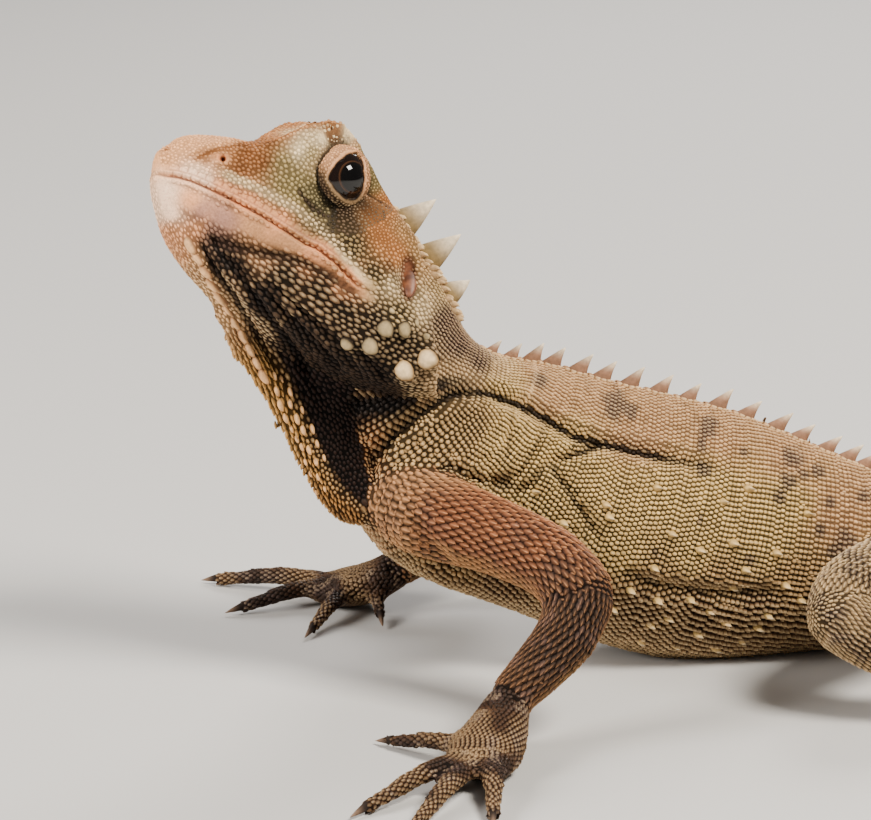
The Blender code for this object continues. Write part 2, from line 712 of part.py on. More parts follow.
def make_fan():
    """A thin fold under the throat with a row of pointed scales along its edge."""
    rings = []
    for k in range(FAN_STATIONS + 1):
        t = k / FAN_STATIONS
        edge = fan_point(FAN_EDGE, t)
        root = fan_point(FAN_ROOT, t)
        ring = []
        for share, thick in fan_sections(edge, root):
            p = root[0] + (edge[0] - root[0]) * share
            h = root[1] + (edge[1] - root[1]) * share
            ring.append((p, thick, h))
        left = [Vector((p, -thick, h)) for p, thick, h in ring]
        right = [Vector((p, thick, h)) for p, thick, h in reversed(ring)]
        rings.append(left + [Vector((edge[0], 0, edge[1]))] + right)
    fan = loft("dewlap", rings)
    spines = []
    for k in range(FAN_SPINES):
        t = (k + 0.6) / FAN_SPINES
        edge = fan_point(FAN_EDGE, t)
        ahead = fan_point(FAN_EDGE, min(t + 0.02, 1))
        before = fan_point(FAN_EDGE, max(t - 0.02, 0))
        along = Vector((ahead[0] - before[0], 0, ahead[1] - before[1])).normalized()
        out = Vector((along.z, 0, -along.x))
        least, more = FAN_SPINE_HEIGHT
        height = (least + more * math.sin(math.pi * min(1, t * 1.1))) * random.uniform(0.85, 1.15)
        spines.append(tubercle(Vector((edge[0], 0, edge[1])), out, FAN_SPINE_WIDTH, height,
                               along * 0.35, FAN_SPINE_ROOT))
    join(fan, spines)
    fan.data.transform(HEAD_TURN)
    return fan


def fan_point(line, t):
    """A point of the fan's edge or root, as p, h and thickness."""
    rows = [(index,) + row for index, row in enumerate(line)]
    place = t * (len(line) - 1)
    return [value_at(rows, place, column) for column in (1, 2, 3)]


# Arms and legs

def limb(name, rows, upwards, round_start, round_end):
    """A length of an arm or leg, with a rounded end where it meets the other length."""
    route = Route(rows)
    count = max(3, round(route.length / LIMB_STEP))
    rings = []
    for k in range(count + 1):
        s = route.length * k / count
        middle, along, left, up = route.frame(s, upwards)
        rings.append(circle(middle, left, up, route.size(s, 0), LIMB_SIDES))
        if k == 0 and round_start:
            rings = dome(middle, along * -1, left, up, route.size(s, 0))[::-1] + rings
        if k == count and round_end:
            rings += dome(middle, along, left, up, route.size(s, 0))
    return loft(name, rings)


def dome(middle, out, left, up, radius):
    """Rings that round off the end of a limb."""
    return [circle(middle + out * radius * rise, left, up, radius * shrink, LIMB_SIDES)
            for rise, shrink in DOME]


def beyond(point, way):
    """A block that starts at a point and holds all that lies further along a way."""
    side = way.orthogonal().normalized()
    other = way.cross(side).normalized()
    rings = [circle(point + way * reach, side, other, CUTTER_REACH / 2, 4)
             for reach in (0.0, CUTTER_REACH / 2)]
    return loft("beyond", rings)


def make_limb(rows, upper_name, lower_name):
    """Upper and lower length of a limb, parted by a thin cut through the joint."""
    joint = Vector(rows[JOINT_ROW][:3])
    arriving = (joint - Vector(rows[JOINT_ROW - 1][:3])).normalized()
    leaving = (Vector(rows[JOINT_ROW + 1][:3]) - joint).normalized()
    hinge = arriving.cross(leaving).normalized()
    way = (arriving + leaving).normalized()
    upper = limb(upper_name, rows[:JOINT_ROW + 1], hinge, False, True)
    lower = limb(lower_name, rows[JOINT_ROW:], hinge, True, False)
    cut(upper, [beyond(joint - way * GAP / 2, way)])
    cut(lower, [beyond(joint + way * GAP / 2, way * -1)])
    return upper, lower


def palm(name, rows):
    """The flat part of a hand or foot."""
    route = Route(rows)
    rings = []
    for k in range(PALM_RINGS):
        s = route.length * k / (PALM_RINGS - 1)
        middle, _, left, up = route.frame(s)
        rings.append(circle(middle, left * route.size(s, 0), up * route.size(s, 1), 1.0, LIMB_SIDES))
    return loft(name, rings)


def digit(row):
    """A finger or toe, arched over its joints, which ends in a curved claw."""
    root_x, root_y, tip_x, tip_y, tip_height, radius = row
    root = Vector((root_x, root_y, TOE_ROOT_HEIGHT))
    tip = Vector((tip_x, tip_y, tip_height))
    along = (tip - root).normalized()
    left = Vector((0, 0, 1)).cross(along).normalized()
    up = along.cross(left)
    flesh = (tip - root).length - CLAW_LENGTH
    rings = []
    for k in range(TOE_STATIONS + 1):
        t = k / TOE_STATIONS
        knuckle = 1 + KNUCKLE * math.cos(math.tau * t * 2)
        size = radius * (1 + (TOE_TAPER - 1) * t) * knuckle
        lift = TOE_ARCH * math.sin(math.pi * min(1, t * 1.15))
        middle = root + along * flesh * t + Vector((0, 0, lift))
        rings.append(circle(middle, left, up, size, TOE_SIDES))
    for t, shrink in ((0.05, 1.0), (0.55, 0.62)):
        lift = CLAW_BEND * math.sin(math.pi * t) - CLAW_DROP * t
        middle = root + along * (flesh + CLAW_LENGTH * t) + Vector((0, 0, lift))
        rings.append(circle(middle, left * CLAW_FLATNESS, up, CLAW_RADIUS * shrink, TOE_SIDES))
    return loft("digit", rings, end_tip=tip - Vector((0, 0, CLAW_TIP_DROP)))


def make_foot(name, palm_rows, digit_rows):
    foot = palm(name, palm_rows)
    return join(foot, [digit(row) for row in digit_rows])


def mirrored(rows, columns, shift=0.0):
    """Turn rows of the left side into rows of the right side."""
    other = []
    for row in rows:
        values = list(row)
        for column in columns:
            values[column] = -values[column]
            values[column - 1] += shift
        other.append(tuple(values))
    return tuple(other)


def make_limbs(torso_skin):
    """All arms and legs, and the room that the upper arms take with their gap."""
    pieces = {}
    arm_rooms = []
    leg_right = mirrored(LEG_LEFT, (1,), RIGHT_LEG_SHIFT)
    sole_right = mirrored(SOLE_LEFT, (1,), RIGHT_LEG_SHIFT)
    toes_right = mirrored(TOES_LEFT, (1, 3), RIGHT_LEG_SHIFT)
    plan = (
        ("left", ARM_LEFT, ("upper_arm", "forearm"), "hand", PALM_LEFT, FINGERS_LEFT),
        ("right", ARM_RIGHT, ("upper_arm", "forearm"), "hand", PALM_RIGHT, FINGERS_RIGHT),
        ("left", LEG_LEFT, ("thigh", "shin"), "foot", SOLE_LEFT, TOES_LEFT),
        ("right", leg_right, ("thigh", "shin"), "foot", sole_right, toes_right),
    )
    for side, rows, names, end_name, end_rows, digit_rows in plan:
        upper_name = "%s_%s" % (names[0], side)
        lower_name = "%s_%s" % (names[1], side)
        foot_name = "%s_%s" % (end_name, side)
        upper, lower = make_limb(rows, upper_name, lower_name)
        if upper_name.startswith("upper_arm"):
            arm_rooms.append(grown(upper))
        cut(upper, [grown(torso_skin)])
        foot = make_foot(foot_name, end_rows, digit_rows)
        cut(foot, [grown(lower)])
        pieces[upper_name] = upper
        pieces[lower_name] = lower
        pieces[foot_name] = foot
    return pieces, arm_rooms


def skin_of(name):
    """The finish of a node, by the part of the body that it is."""
    if name.startswith("eye"):
        return EYE_DARK
    if name.startswith("ear"):
        return DRUM_SKIN
    if name in ("head", "jaw"):
        return HEAD_SKIN
    if name in ("dewlap", "neck"):
        return THROAT_SKIN
    if name == "torso":
        return FLANK
    return TAIL_SKIN if name.startswith("tail") else LIMB_SKIN


def main():
    for piece in list(bpy.data.objects):
        bpy.data.objects.remove(piece)
    random.seed(RANDOM_SEED)
    pieces, head_room = make_head()
    trunk = make_trunk()
    neck = trunk[0]
    plain_torso = body_length("torso skin", NECK_END, TORSO_END, BODY_STEP)
    limbs, arm_rooms = make_limbs(plain_torso)
    pieces.update(limbs)
    fan = make_fan()
    join(neck, nape_spines())
    cut(neck, [copy_of(head_room, "head room")])
    plain_neck = body_length("neck skin", 0.0, NECK_END, BODY_STEP * 0.75)
    cut(fan, [head_room, grown(plain_neck), grown(plain_torso)] + arm_rooms)
    pieces["dewlap"] = fan
    drop(plain_torso, plain_neck)
    pieces.update((piece.name, piece) for piece in trunk)
    for name, piece in pieces.items():
        finish(floor_cut(piece), name, skin_of(name))
    centre_on_floor(list(pieces.values()))


def centre_on_floor(pieces):
    """Move the model so that its box is centred on x and y and stands at z = 0."""
    points = [vert.co for piece in pieces for vert in piece.data.vertices]
    lows = [min(point[axis] for point in points) for axis in range(3)]
    highs = [max(point[axis] for point in points) for axis in range(3)]
    shift = Vector((-(lows[0] + highs[0]) / 2, -(lows[1] + highs[1]) / 2, -lows[2]))
    for piece in pieces:
        piece.data.transform(Matrix.Translation(shift))
    print("moved by", [round(value, 5) for value in shift])


main()
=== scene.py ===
# %% [markdown]
# # A forest dragon, life size
# This lesson dresses a plain, measured model of a young forest dragon: a small lizard with
# a comb of spines down its back, a fan of skin under its throat and a very large eye. The
# measured solids come first, and all the rest is made round them, at their size and place.

# %% Load the measured model
import json
import math

import bmesh
import bpy
import numpy as np
from mathutils import Matrix, Vector, noise
from mathutils.bvhtree import BVHTree
from mathutils.kdtree import KDTree
from numpy.linalg import norm

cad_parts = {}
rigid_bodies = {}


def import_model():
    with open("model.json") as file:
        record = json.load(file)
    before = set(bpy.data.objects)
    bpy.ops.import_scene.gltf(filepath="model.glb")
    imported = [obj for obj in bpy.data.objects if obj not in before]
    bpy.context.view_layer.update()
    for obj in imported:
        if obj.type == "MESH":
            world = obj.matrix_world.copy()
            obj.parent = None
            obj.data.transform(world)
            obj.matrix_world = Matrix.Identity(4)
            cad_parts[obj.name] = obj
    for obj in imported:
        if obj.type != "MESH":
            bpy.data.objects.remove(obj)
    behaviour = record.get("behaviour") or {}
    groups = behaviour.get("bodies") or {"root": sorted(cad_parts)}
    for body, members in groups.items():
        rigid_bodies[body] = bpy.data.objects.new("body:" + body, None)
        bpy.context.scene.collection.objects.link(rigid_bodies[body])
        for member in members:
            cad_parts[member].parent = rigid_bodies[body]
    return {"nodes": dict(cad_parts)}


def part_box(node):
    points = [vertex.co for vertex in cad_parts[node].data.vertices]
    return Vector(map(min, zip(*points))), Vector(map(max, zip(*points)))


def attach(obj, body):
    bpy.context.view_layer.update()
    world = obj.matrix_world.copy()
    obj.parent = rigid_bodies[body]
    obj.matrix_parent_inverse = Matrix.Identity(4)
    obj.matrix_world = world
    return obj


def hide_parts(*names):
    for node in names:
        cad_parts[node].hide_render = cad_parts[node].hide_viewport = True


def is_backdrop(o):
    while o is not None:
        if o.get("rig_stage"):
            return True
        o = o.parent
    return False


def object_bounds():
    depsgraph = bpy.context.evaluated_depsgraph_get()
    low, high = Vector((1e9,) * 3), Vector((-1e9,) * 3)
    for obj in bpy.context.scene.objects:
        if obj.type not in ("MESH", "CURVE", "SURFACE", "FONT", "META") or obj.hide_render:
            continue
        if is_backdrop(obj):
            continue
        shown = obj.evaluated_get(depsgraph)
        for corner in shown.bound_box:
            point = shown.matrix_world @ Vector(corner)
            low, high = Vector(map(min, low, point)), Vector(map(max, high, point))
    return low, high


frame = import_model()
cad_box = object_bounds()
MM = 0.001
FLESH = [name for name in frame["nodes"] if not name.startswith(("eye", "ear"))]
chance = np.random.default_rng(4)
print("nodes of flesh:", len(FLESH))

# %% [markdown]
# ## Two ways to name a place
# The solids were drawn in millimetres round a design origin, and then centred on the
# floor. All shapes here are worked out in those millimetres, and a finished piece is
# moved into the scene at the end. The head was drawn in a frame of its own: p runs back
# along the mouth, q out to the side and h up. The left eye's box shows how far the design
# origin has moved.

# %% The design frame and the head's own frame
HEAD_ORIGIN = (-33.9, -3.8, 63.1)
HEAD_YAW, HEAD_PITCH, HEAD_ROLL = 3.0, 31.0, -12.0
HEAD_SCALE = 0.95
EYE_PLACE = (18.9, 5.5, 10.6)
EYE_RADIUS = 3.8 * HEAD_SCALE

HEAD = (Matrix.Translation(HEAD_ORIGIN)
        @ Matrix.Rotation(math.radians(HEAD_YAW), 4, "Z")
        @ Matrix.Rotation(math.radians(HEAD_PITCH), 4, "Y")
        @ Matrix.Rotation(math.radians(HEAD_ROLL), 4, "X")
        @ Matrix.Scale(HEAD_SCALE, 4))
HEAD_BACK = HEAD.inverted()
eye_low, eye_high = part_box("eye_left")
drawn_eye = HEAD @ Vector((EYE_PLACE[0], -EYE_PLACE[1], EYE_PLACE[2]))
DESIGN_ORIGIN = (eye_low + eye_high) / 2 - drawn_eye * MM
TO_SCENE = Matrix.Translation(DESIGN_ORIGIN) @ Matrix.Scale(MM, 4)


def on_head(p, q, h, side=1):
    """A point of the head's frame on its left side (1) or its right side (-1)."""
    return HEAD @ Vector((p, -q * side, h))


def many(matrix, points):
    """Move an array of points by a matrix."""
    m = np.array(matrix)
    return points @ m[:3, :3].T + m[:3, 3]


def unit(ways):
    """Give an array of directions length 1."""
    return ways / np.maximum(norm(ways, axis=-1, keepdims=True), 1e-9)


def running(lengths):
    """How far each joint of a line lies from its start."""
    return np.concatenate([[0], np.cumsum(lengths)])


def soft_step(values, low, high):
    """Rise smoothly from 0 at the low value to 1 at the high one."""
    t = np.clip((np.asarray(values, float) - low) / (high - low), 0, 1)
    return t * t * (3 - 2 * t)


print("design origin at", [round(v, 5) for v in DESIGN_ORIGIN])

# %% [markdown]
# ## Camera
# The photo looks at the left side from a little in front and above. The camera's place is
# easiest to say as an azimuth, an elevation and a distance from a point that it looks at.
# The same numbers also turn any point into a place in the photo, which is how the marks
# of the skin are put where the photo shows them.

# %% The camera
AZIMUTH, ELEVATION = math.radians(-10), math.radians(15)
DISTANCE = 450.0
PHOTO_SIZE = (871, 820)
PIXEL = 0.125
SENSOR = 36.0
TARGET = Vector((1.354, 8.040, 30.427))

right = Vector((math.cos(AZIMUTH), math.sin(AZIMUTH), 0))
back = Vector((math.sin(AZIMUTH) * math.cos(ELEVATION), -math.cos(AZIMUTH) * math.cos(ELEVATION),
               math.sin(ELEVATION)))
upward = back.cross(right)
EYE_POINT = TARGET + back * DISTANCE
bpy.ops.object.camera_add(location=TO_SCENE @ EYE_POINT)
camera = bpy.context.object
camera.name = "camera"
camera.rotation_euler = Matrix((right, upward, back)).transposed().to_euler()
camera.data.sensor_width = SENSOR
camera.data.lens = SENSOR * DISTANCE / (PHOTO_SIZE[0] * PIXEL)
camera.data.clip_start = 0.01
bpy.context.scene.camera = camera


def photo_place(points):
    """Where an array of points shows in the photo, in its pixels."""
    away = points - np.array(EYE_POINT)
    scale = DISTANCE / PIXEL / -(away @ np.array(back))
    return np.stack([PHOTO_SIZE[0] / 2 + away @ np.array(right) * scale,
                     PHOTO_SIZE[1] / 2 - away @ np.array(upward) * scale], axis=1)


def sight_line(u, v):
    """The way of the line of sight through a pixel of the photo."""
    way = (right * (u - PHOTO_SIZE[0] / 2) + upward * (PHOTO_SIZE[1] / 2 - v)) * PIXEL - back * DISTANCE
    return way.normalized()


print("lens", round(camera.data.lens, 1), "mm")

# %% [markdown]
# ## Floor and light
# The model is shown as on a museum's shelf: a plain pale floor and wide, soft lamps. One
# large lamp stands high on the animal's tail side, where the photo has its own, and rakes
# over the scales so that each casts a small shadow.

# %% The floor
FLOOR_COLOUR = (0.52, 0.515, 0.51, 1)


def new_material(name):
    """A new material, with its nodes, links and shader."""
    material = bpy.data.materials.new(name)
    material.use_nodes = True
    nodes = material.node_tree.nodes
    return material, nodes, material.node_tree.links, nodes["Principled BSDF"]


def connect(links, *rows):
    """Link sockets, each row a node, its output, another node and its input."""
    for first, out, second, into in rows:
        links.new(first.outputs[out], second.inputs[into])


bpy.ops.mesh.primitive_plane_add(size=6.0, location=(0, 0, 0))
floor = bpy.context.object
floor.name = "floor"
floor_paint, _, _, shader = new_material("pale floor")
shader.inputs["Base Color"].default_value = FLOOR_COLOUR
shader.inputs["Roughness"].default_value = 0.75
floor.data.materials.append(floor_paint)
floor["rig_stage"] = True

# %% The lamps
LAMPS = (
    ("key", (0.20, -0.36, 0.66), 0.26, 12.5, (1.0, 0.93, 0.82)),
    ("front", (-0.72, -0.12, 0.34), 0.28, 6.5, (1.0, 0.94, 0.86)),
    ("rim", (0.16, 0.60, 0.52), 0.34, 5.5, (1.0, 0.96, 0.92)),
)
LIT_POINT = TO_SCENE @ Vector((10, -5, 30))
for name, place, width, power, colour in LAMPS:
    bpy.ops.object.light_add(type="AREA", location=place)
    lamp = bpy.context.object
    lamp.name = name
    lamp.data.size = width
    lamp.data.energy = power
    lamp.data.color = colour
    lamp.rotation_euler = (Vector(place) - LIT_POINT).to_track_quat("Z", "Y").to_euler()
world = bpy.data.worlds.new("studio")
world.use_nodes = True
world.node_tree.nodes["Background"].inputs["Color"].default_value = (1.0, 0.98, 0.95, 1)
world.node_tree.nodes["Background"].inputs["Strength"].default_value = 0.16
bpy.context.scene.world = world

# %% [markdown]
# ## Lines through the body
# Scales run in rows along a body and round it. So each part of the body gets a line
# through its middle: rows of x, y, z in the design frame with a radius, and a smooth curve
# through them. The rows are those that the solids were drawn from.

# %% A smooth line through rows of numbers
def curve(rows, x):
    """Read a table, whose first column is the place, on a smooth curve at x."""
    rows = np.asarray(rows, float)
    places, values = rows[:, 0], rows[:, 1:]
    index = np.arange(len(places))
    before, after = np.maximum(index - 1, 0), np.minimum(index + 1, len(places) - 1)
    slopes = (values[after] - values[before]) / (places[after] - places[before])[:, None]
    x = np.clip(x, places[0], places[-1])
    low = np.clip(np.searchsorted(places, x, side="right") - 1, 0, len(places) - 2)
    span = (places[low + 1] - places[low])[..., None]
    t = (x - places[low])[..., None] / span
    return (values[low] * (1 + 2 * t) * (1 - t) ** 2 + slopes[low] * span * t * (1 - t) ** 2
            + values[low + 1] * t * t * (3 - 2 * t) + slopes[low + 1] * span * t * t * (t - 1))


class Route:
    """A line through rows of x, y, z and the sizes that they carry."""

    def __init__(self, rows, upwards=(0, 0, 1)):
        rows = np.asarray(rows, float)
        spans = norm(np.diff(rows[:, :3], axis=0), axis=1)
        self.rows = np.column_stack([running(spans), rows])
        self.length = self.rows[-1, 0]
        self.upwards = np.array(upwards, float)

    def points(self, s):
        return curve(self.rows, np.asarray(s, float))[..., :3]

    def sizes(self, s, index=0):
        return curve(self.rows, np.asarray(s, float))[..., 3 + index]

    def frames(self, s, step=0.4):
        """The middle, the way along, the way to +Y and the way up."""
        s = np.asarray(s, float)
        along = unit(self.points(np.minimum(s + step, self.length)) - self.points(np.maximum(s - step, 0)))
        side = unit(np.cross(self.upwards, along))
        return self.points(s), along, side, np.cross(along, side)

    def nearest(self, points, step=0.5):
        """How far along the line each point lies."""
        s = np.arange(0, self.length + step, step)
        line = self.points(s)
        squares = (line ** 2).sum(1)
        best = [np.argmin(squares - 2 * part @ line.T, axis=1)
                for part in np.array_split(points, max(1, len(points) // 8000))]
        return s[np.concatenate(best)]


# %% The lines: trunk, arms, legs, hands and feet
TRUNK = (
    (-13, -2.4, 52, 9.7), (-7, -2, 45, 9), (-1, -1.2, 37, 7.4),
    (5, 0, 29.5, 12), (15, 0, 23, 14.2), (33, 0, 16.2, 15.4),
    (50, 0, 12, 12.3), (62, 0.2, 9.8, 9.2), (74, 1.2, 7.4, 6.6),
    (92, 4.5, 5.9, 5.2), (122, 11.5, 4.7, 4.1), (152, 13, 3.8, 3.3),
    (186, 5.5, 3, 2.6), (220, -7.5, 2.3, 2), (252, -14, 1.7, 1.5),
    (286, -10, 1.2, 1), (312, 0, 0.8, 0.6),
)
NECK_END, TORSO_END = 22, 104.0
ARM_LEFT = ((-5, -3.5, 24.5, 5.8), (-3.6, -9.6, 22.9, 5.6), (4.4, -17, 21.2, 4.7),
            (10.2, -23, 19.2, 4.4), (12.6, -26.3, 16.4, 4.3), (10.6, -28.6, 12.6, 3.9),
            (6.6, -30.4, 8.9, 3.3), (3.2, -32, 6.4, 2.8))
ARM_RIGHT = ((-5, 3.5, 24.5, 5.8), (-3, 9.6, 22.9, 5.6), (5.4, 16.8, 21.2, 4.7),
             (11.5, 22, 18.6, 4.4), (13.6, 24.3, 15.6, 4.3), (10.6, 24, 12.2, 3.9),
             (4.2, 22, 8.8, 3.3), (-1.2, 20.4, 6.4, 2.8))
LEG_LEFT = ((64, -2, 10.5, 6), (60, -8.5, 12, 6.3), (52.5, -17.5, 13.4, 5.6),
            (46.5, -23.5, 13.8, 4.9), (44, -27.4, 12.4, 4.4), (48, -29.8, 9.9, 4.2),
            (58, -31.8, 7.2, 3.9), (68, -33.6, 5, 2.8))
PALM_LEFT = ((3, -32.4, 6, 2.8), (1, -35.6, 3.9, 3.8), (-1, -39, 2.45, 4.8),
             (-2.8, -42.2, 1.75, 4))
PALM_RIGHT = ((-1.4, 20.7, 6, 2.8), (-4.2, 22.3, 3.9, 3.8), (-7.2, 24.8, 2.45, 4.8),
              (-9.8, 27.2, 1.75, 4))
SOLE_LEFT = ((68.6, -34, 4.8, 2.8), (68.4, -38.4, 3.4, 3.5), (67.2, -43.4, 2.35, 4.2),
             (66, -47.4, 1.75, 3.7))
# Fingers and toes: root x, y, tip x, y, tip height, radius at the root
FINGERS_LEFT = ((0.6, -36, -0.6, -23.5, 0.9, 1.35), (-2.6, -37.6, -12.4, -27.6, 0.7, 1.45),
                (-4, -40.6, -19, -51.6, 0.7, 1.55), (-3.4, -42.6, -14, -59, 0.7, 1.6),
                (-0.6, -41.6, -3.8, -57.5, 0.7, 1.6))
FINGERS_RIGHT = ((-4.2, 22.8, -4.6, 13, 0.9, 1.35), (-7.6, 23.2, -15.2, 10.6, 0.7, 1.45),
                 (-9.8, 25.8, -24.2, 22.6, 0.7, 1.55), (-10, 28.2, -25.6, 37.4, 0.7, 1.6),
                 (-6.6, 27.6, 1.5, 39, 0.7, 1.6))
TOES_LEFT = ((64.4, -42.6, 56, -45, 0.7, 1.45), (64.2, -46, 53.6, -54.6, 0.7, 1.5),
             (65, -48, 55.6, -64.6, 0.7, 1.6), (66.6, -48.4, 62.6, -72.6, 0.7, 1.7),
             (69.8, -43.8, 79.4, -52.6, 0.7, 1.6))
TOE_ROOT_HEIGHT, TOE_ARCH, TOE_TAPER, KNUCKLE = 2.1, 0.75, 0.62, 0.07
CLAW_LENGTH = 2.6
RIGHT_LEG_SHIFT = 2.5


def mirrored(rows, columns, shift=RIGHT_LEG_SHIFT):
    """Turn rows of the left side into rows of the right side."""
    other = np.array(rows)
    for column in columns:
        other[:, column] *= -1
        other[:, column - 1] += shift
    return other


def digit_rows(row, stations=9):
    """The middle line of the fleshy part of a finger or toe, with its radius."""
    root_x, root_y, tip_x, tip_y, tip_height, radius = row
    root = np.array((root_x, root_y, TOE_ROOT_HEIGHT))
    tip = np.array((tip_x, tip_y, tip_height))
    along = unit(tip - root)
    flesh = norm(tip - root) - CLAW_LENGTH
    rows = []
    for t in np.linspace(0, 1, stations):
        size = radius * (1 + (TOE_TAPER - 1) * t) * (1 + KNUCKLE * math.cos(math.tau * t * 2))
        lift = TOE_ARCH * math.sin(math.pi * min(1, t * 1.15))
        rows.append((*(root + along * flesh * t + (0, 0, lift)), size))
    return rows


spine = Route(TRUNK)
print("trunk and tail:", round(spine.length), "mm")

# %% [markdown]
# ## Skin
# On the animal one skin runs over everything, so the parted solids are joined again: a
# copy of each is swollen a little, so that the thin gaps close, and a voxel remesh turns
# them all into one surface. A remesh leaves steps, which smoothing takes away. A number
# on each face of the copies tells which part of the body it is.

# %% Helpers for meshes
SWELL = 0.28
VOXEL = 0.74


def choose(*objects):
    """Select these objects and no others, the last one active."""
    bpy.ops.object.select_all(action="DESELECT")
    for obj in objects:
        obj.select_set(True)
    if objects:
        bpy.context.view_layer.objects.active = objects[-1]


def copy_of(obj, name):
    twin = obj.copy()
    twin.data = obj.data.copy()
    twin.name = name
    twin.parent = None
    for key in [key for key in twin.keys() if key.startswith("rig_")]:
        del twin[key]
    bpy.context.scene.collection.objects.link(twin)
    return twin


def apply_all(obj):
    """Apply an object's modifiers in their order."""
    choose(obj)
    for modifier in list(obj.modifiers):
        bpy.ops.object.modifier_apply(modifier=modifier.name)


def read(collection, name, width, kind=np.float32):
    """Read one value of each item of a mesh as an array."""
    flat = np.empty(len(collection) * width, kind)
    collection.foreach_get(name, flat)
    return flat.reshape(-1, width) if width > 1 else flat


def coordinates(obj):
    return read(obj.data.vertices, "co", 3).astype(float)


def normals_of(obj):
    return read(obj.data.vertices, "normal", 3).astype(float)


def set_coordinates(obj, points):
    obj.data.vertices.foreach_set("co", points.astype(np.float32).ravel())
    obj.data.update()


# %% Join copies of the solids
copies = []
for name in FLESH + ["eye_left", "eye_right"]:
    twin = copy_of(frame["nodes"][name], "flesh")
    number = FLESH.index("head" if name.startswith("eye") else name)
    label = twin.data.attributes.new("part", "INT", "FACE")
    label.data.foreach_set("value", np.full(len(twin.data.polygons), number, np.int32))
    copies.append(twin)
choose(*copies)
bpy.ops.object.join()
skin = bpy.context.object
skin.name = "skin"
skin.data.materials.clear()
skin.data.transform(TO_SCENE.inverted())
bpy.ops.object.mode_set(mode="EDIT")
bpy.ops.mesh.select_all(action="SELECT")
bpy.ops.mesh.remove_doubles(threshold=0.001)
bpy.ops.object.mode_set(mode="OBJECT")
solids = BVHTree.FromObject(skin, bpy.context.evaluated_depsgraph_get())
solid_parts = read(skin.data.attributes["part"].data, "value", 1, np.int32)
swelling = skin.modifiers.new("swell", "DISPLACE")
swelling.strength = SWELL
swelling.mid_level = 0.0
remesh = skin.modifiers.new("remesh", "REMESH")
remesh.mode = "VOXEL"
remesh.voxel_size = VOXEL
apply_all(skin)


def parts_at(points):
    """The number of the part of the body that each point is nearest to."""
    found = [solids.find_nearest(point)[2] for point in points]
    return solid_parts[np.array(found)]


print("skin:", len(skin.data.polygons), "faces")

# %% Give the head smaller faces, and the eyes and the snout smaller ones still
HEAD_PARTS = [FLESH.index(name) for name in ("head", "jaw")]
EYE_REACH, SNOUT_REACH, LID_REACH = 6.4, 9.0, 4.9


def face_centres():
    return read(skin.data.polygons, "center", 3).astype(float)


def divide(chosen):
    """Cut the chosen faces of the skin into four."""
    choose(skin)
    bpy.ops.object.mode_set(mode="EDIT")
    bpy.ops.mesh.select_mode(type="FACE")
    bpy.ops.mesh.select_all(action="DESELECT")
    bpy.ops.object.mode_set(mode="OBJECT")
    skin.data.polygons.foreach_set("select", chosen)
    bpy.ops.object.mode_set(mode="EDIT")
    bpy.ops.mesh.subdivide(number_cuts=1, ngon=False)
    bpy.ops.object.mode_set(mode="OBJECT")


divide(np.isin(parts_at(face_centres()), HEAD_PARTS))
for eye_reach, snout_reach in ((EYE_REACH, SNOUT_REACH), (LID_REACH, -math.inf)):
    centres = many(HEAD_BACK, face_centres())
    from_eye = norm(np.abs(centres) - EYE_PLACE, axis=1) * HEAD_SCALE
    divide((from_eye < eye_reach) | (centres[:, 0] < snout_reach))
parts = parts_at(coordinates(skin))
triangles = sum(len(face.vertices) - 2 for face in skin.data.polygons)
print("skin with a finer head:", triangles, "triangles")

# %% [markdown]
# Smoothing moves each point towards the middle of its neighbours. That alone would thin
# the toes, so each round is followed by a slightly larger step the other way, which
# brings the size back and leaves the steps smoothed out.

# %% Smooth the skin
SMOOTH_ROUNDS = 9
INWARD, OUTWARD, PULL = 0.5, -0.52, 0.6
joins = read(skin.data.edges, "vertices", 2, np.int32)
counts = np.bincount(joins.ravel(), minlength=len(parts)).astype(float)[:, None]


def neighbour_mean(values):
    """The mean of each point's neighbours, for any array of values of the points."""
    total = np.stack([np.bincount(joins[:, 0], values[joins[:, 1], k], len(values))
                      + np.bincount(joins[:, 1], values[joins[:, 0], k], len(values))
                      for k in range(values.shape[1])], axis=1)
    return total / counts


points = coordinates(skin)
for _ in range(SMOOTH_ROUNDS):
    for share in (INWARD, OUTWARD):
        points += (neighbour_mean(points) - points) * share
set_coordinates(skin, points)

# %% [markdown]
# The solids carry coarse spines and claws, which finer ones will replace. The skin under
# them is brought back to the round of the neck, back and tail, and to the tips of the
# toes.

# %% Take the coarse spines and claws off the skin
def number_of(*names):
    return [FLESH.index(name) for name in names]


TRUNK_PARTS = number_of("neck", "torso", "tail_1", "tail_2", "tail_3", "tail_4")
RIDGE_WIDTH, RIDGE_END, RIDGE_ROUNDS = 3.0, 170, 14
on_trunk = np.where(np.isin(parts, TRUNK_PARTS))[0]
along_trunk = spine.nearest(points[on_trunk])
middle, _, side_way, up_way = spine.frames(along_trunk)
offset = points[on_trunk] - middle
across, rise = (offset * side_way).sum(1), (offset * up_way).sum(1)
above = spine.sizes(along_trunk)
roof = above * (1 - 0.5 * (np.abs(across) / np.maximum(above, 1)) ** 1.4) + SWELL
spiny = (rise > roof) & (np.abs(across) < RIDGE_WIDTH) & (along_trunk < RIDGE_END)
moved = points[on_trunk]
moved[spiny] += up_way[spiny] * (roof - rise)[spiny, None]
points[on_trunk] = moved

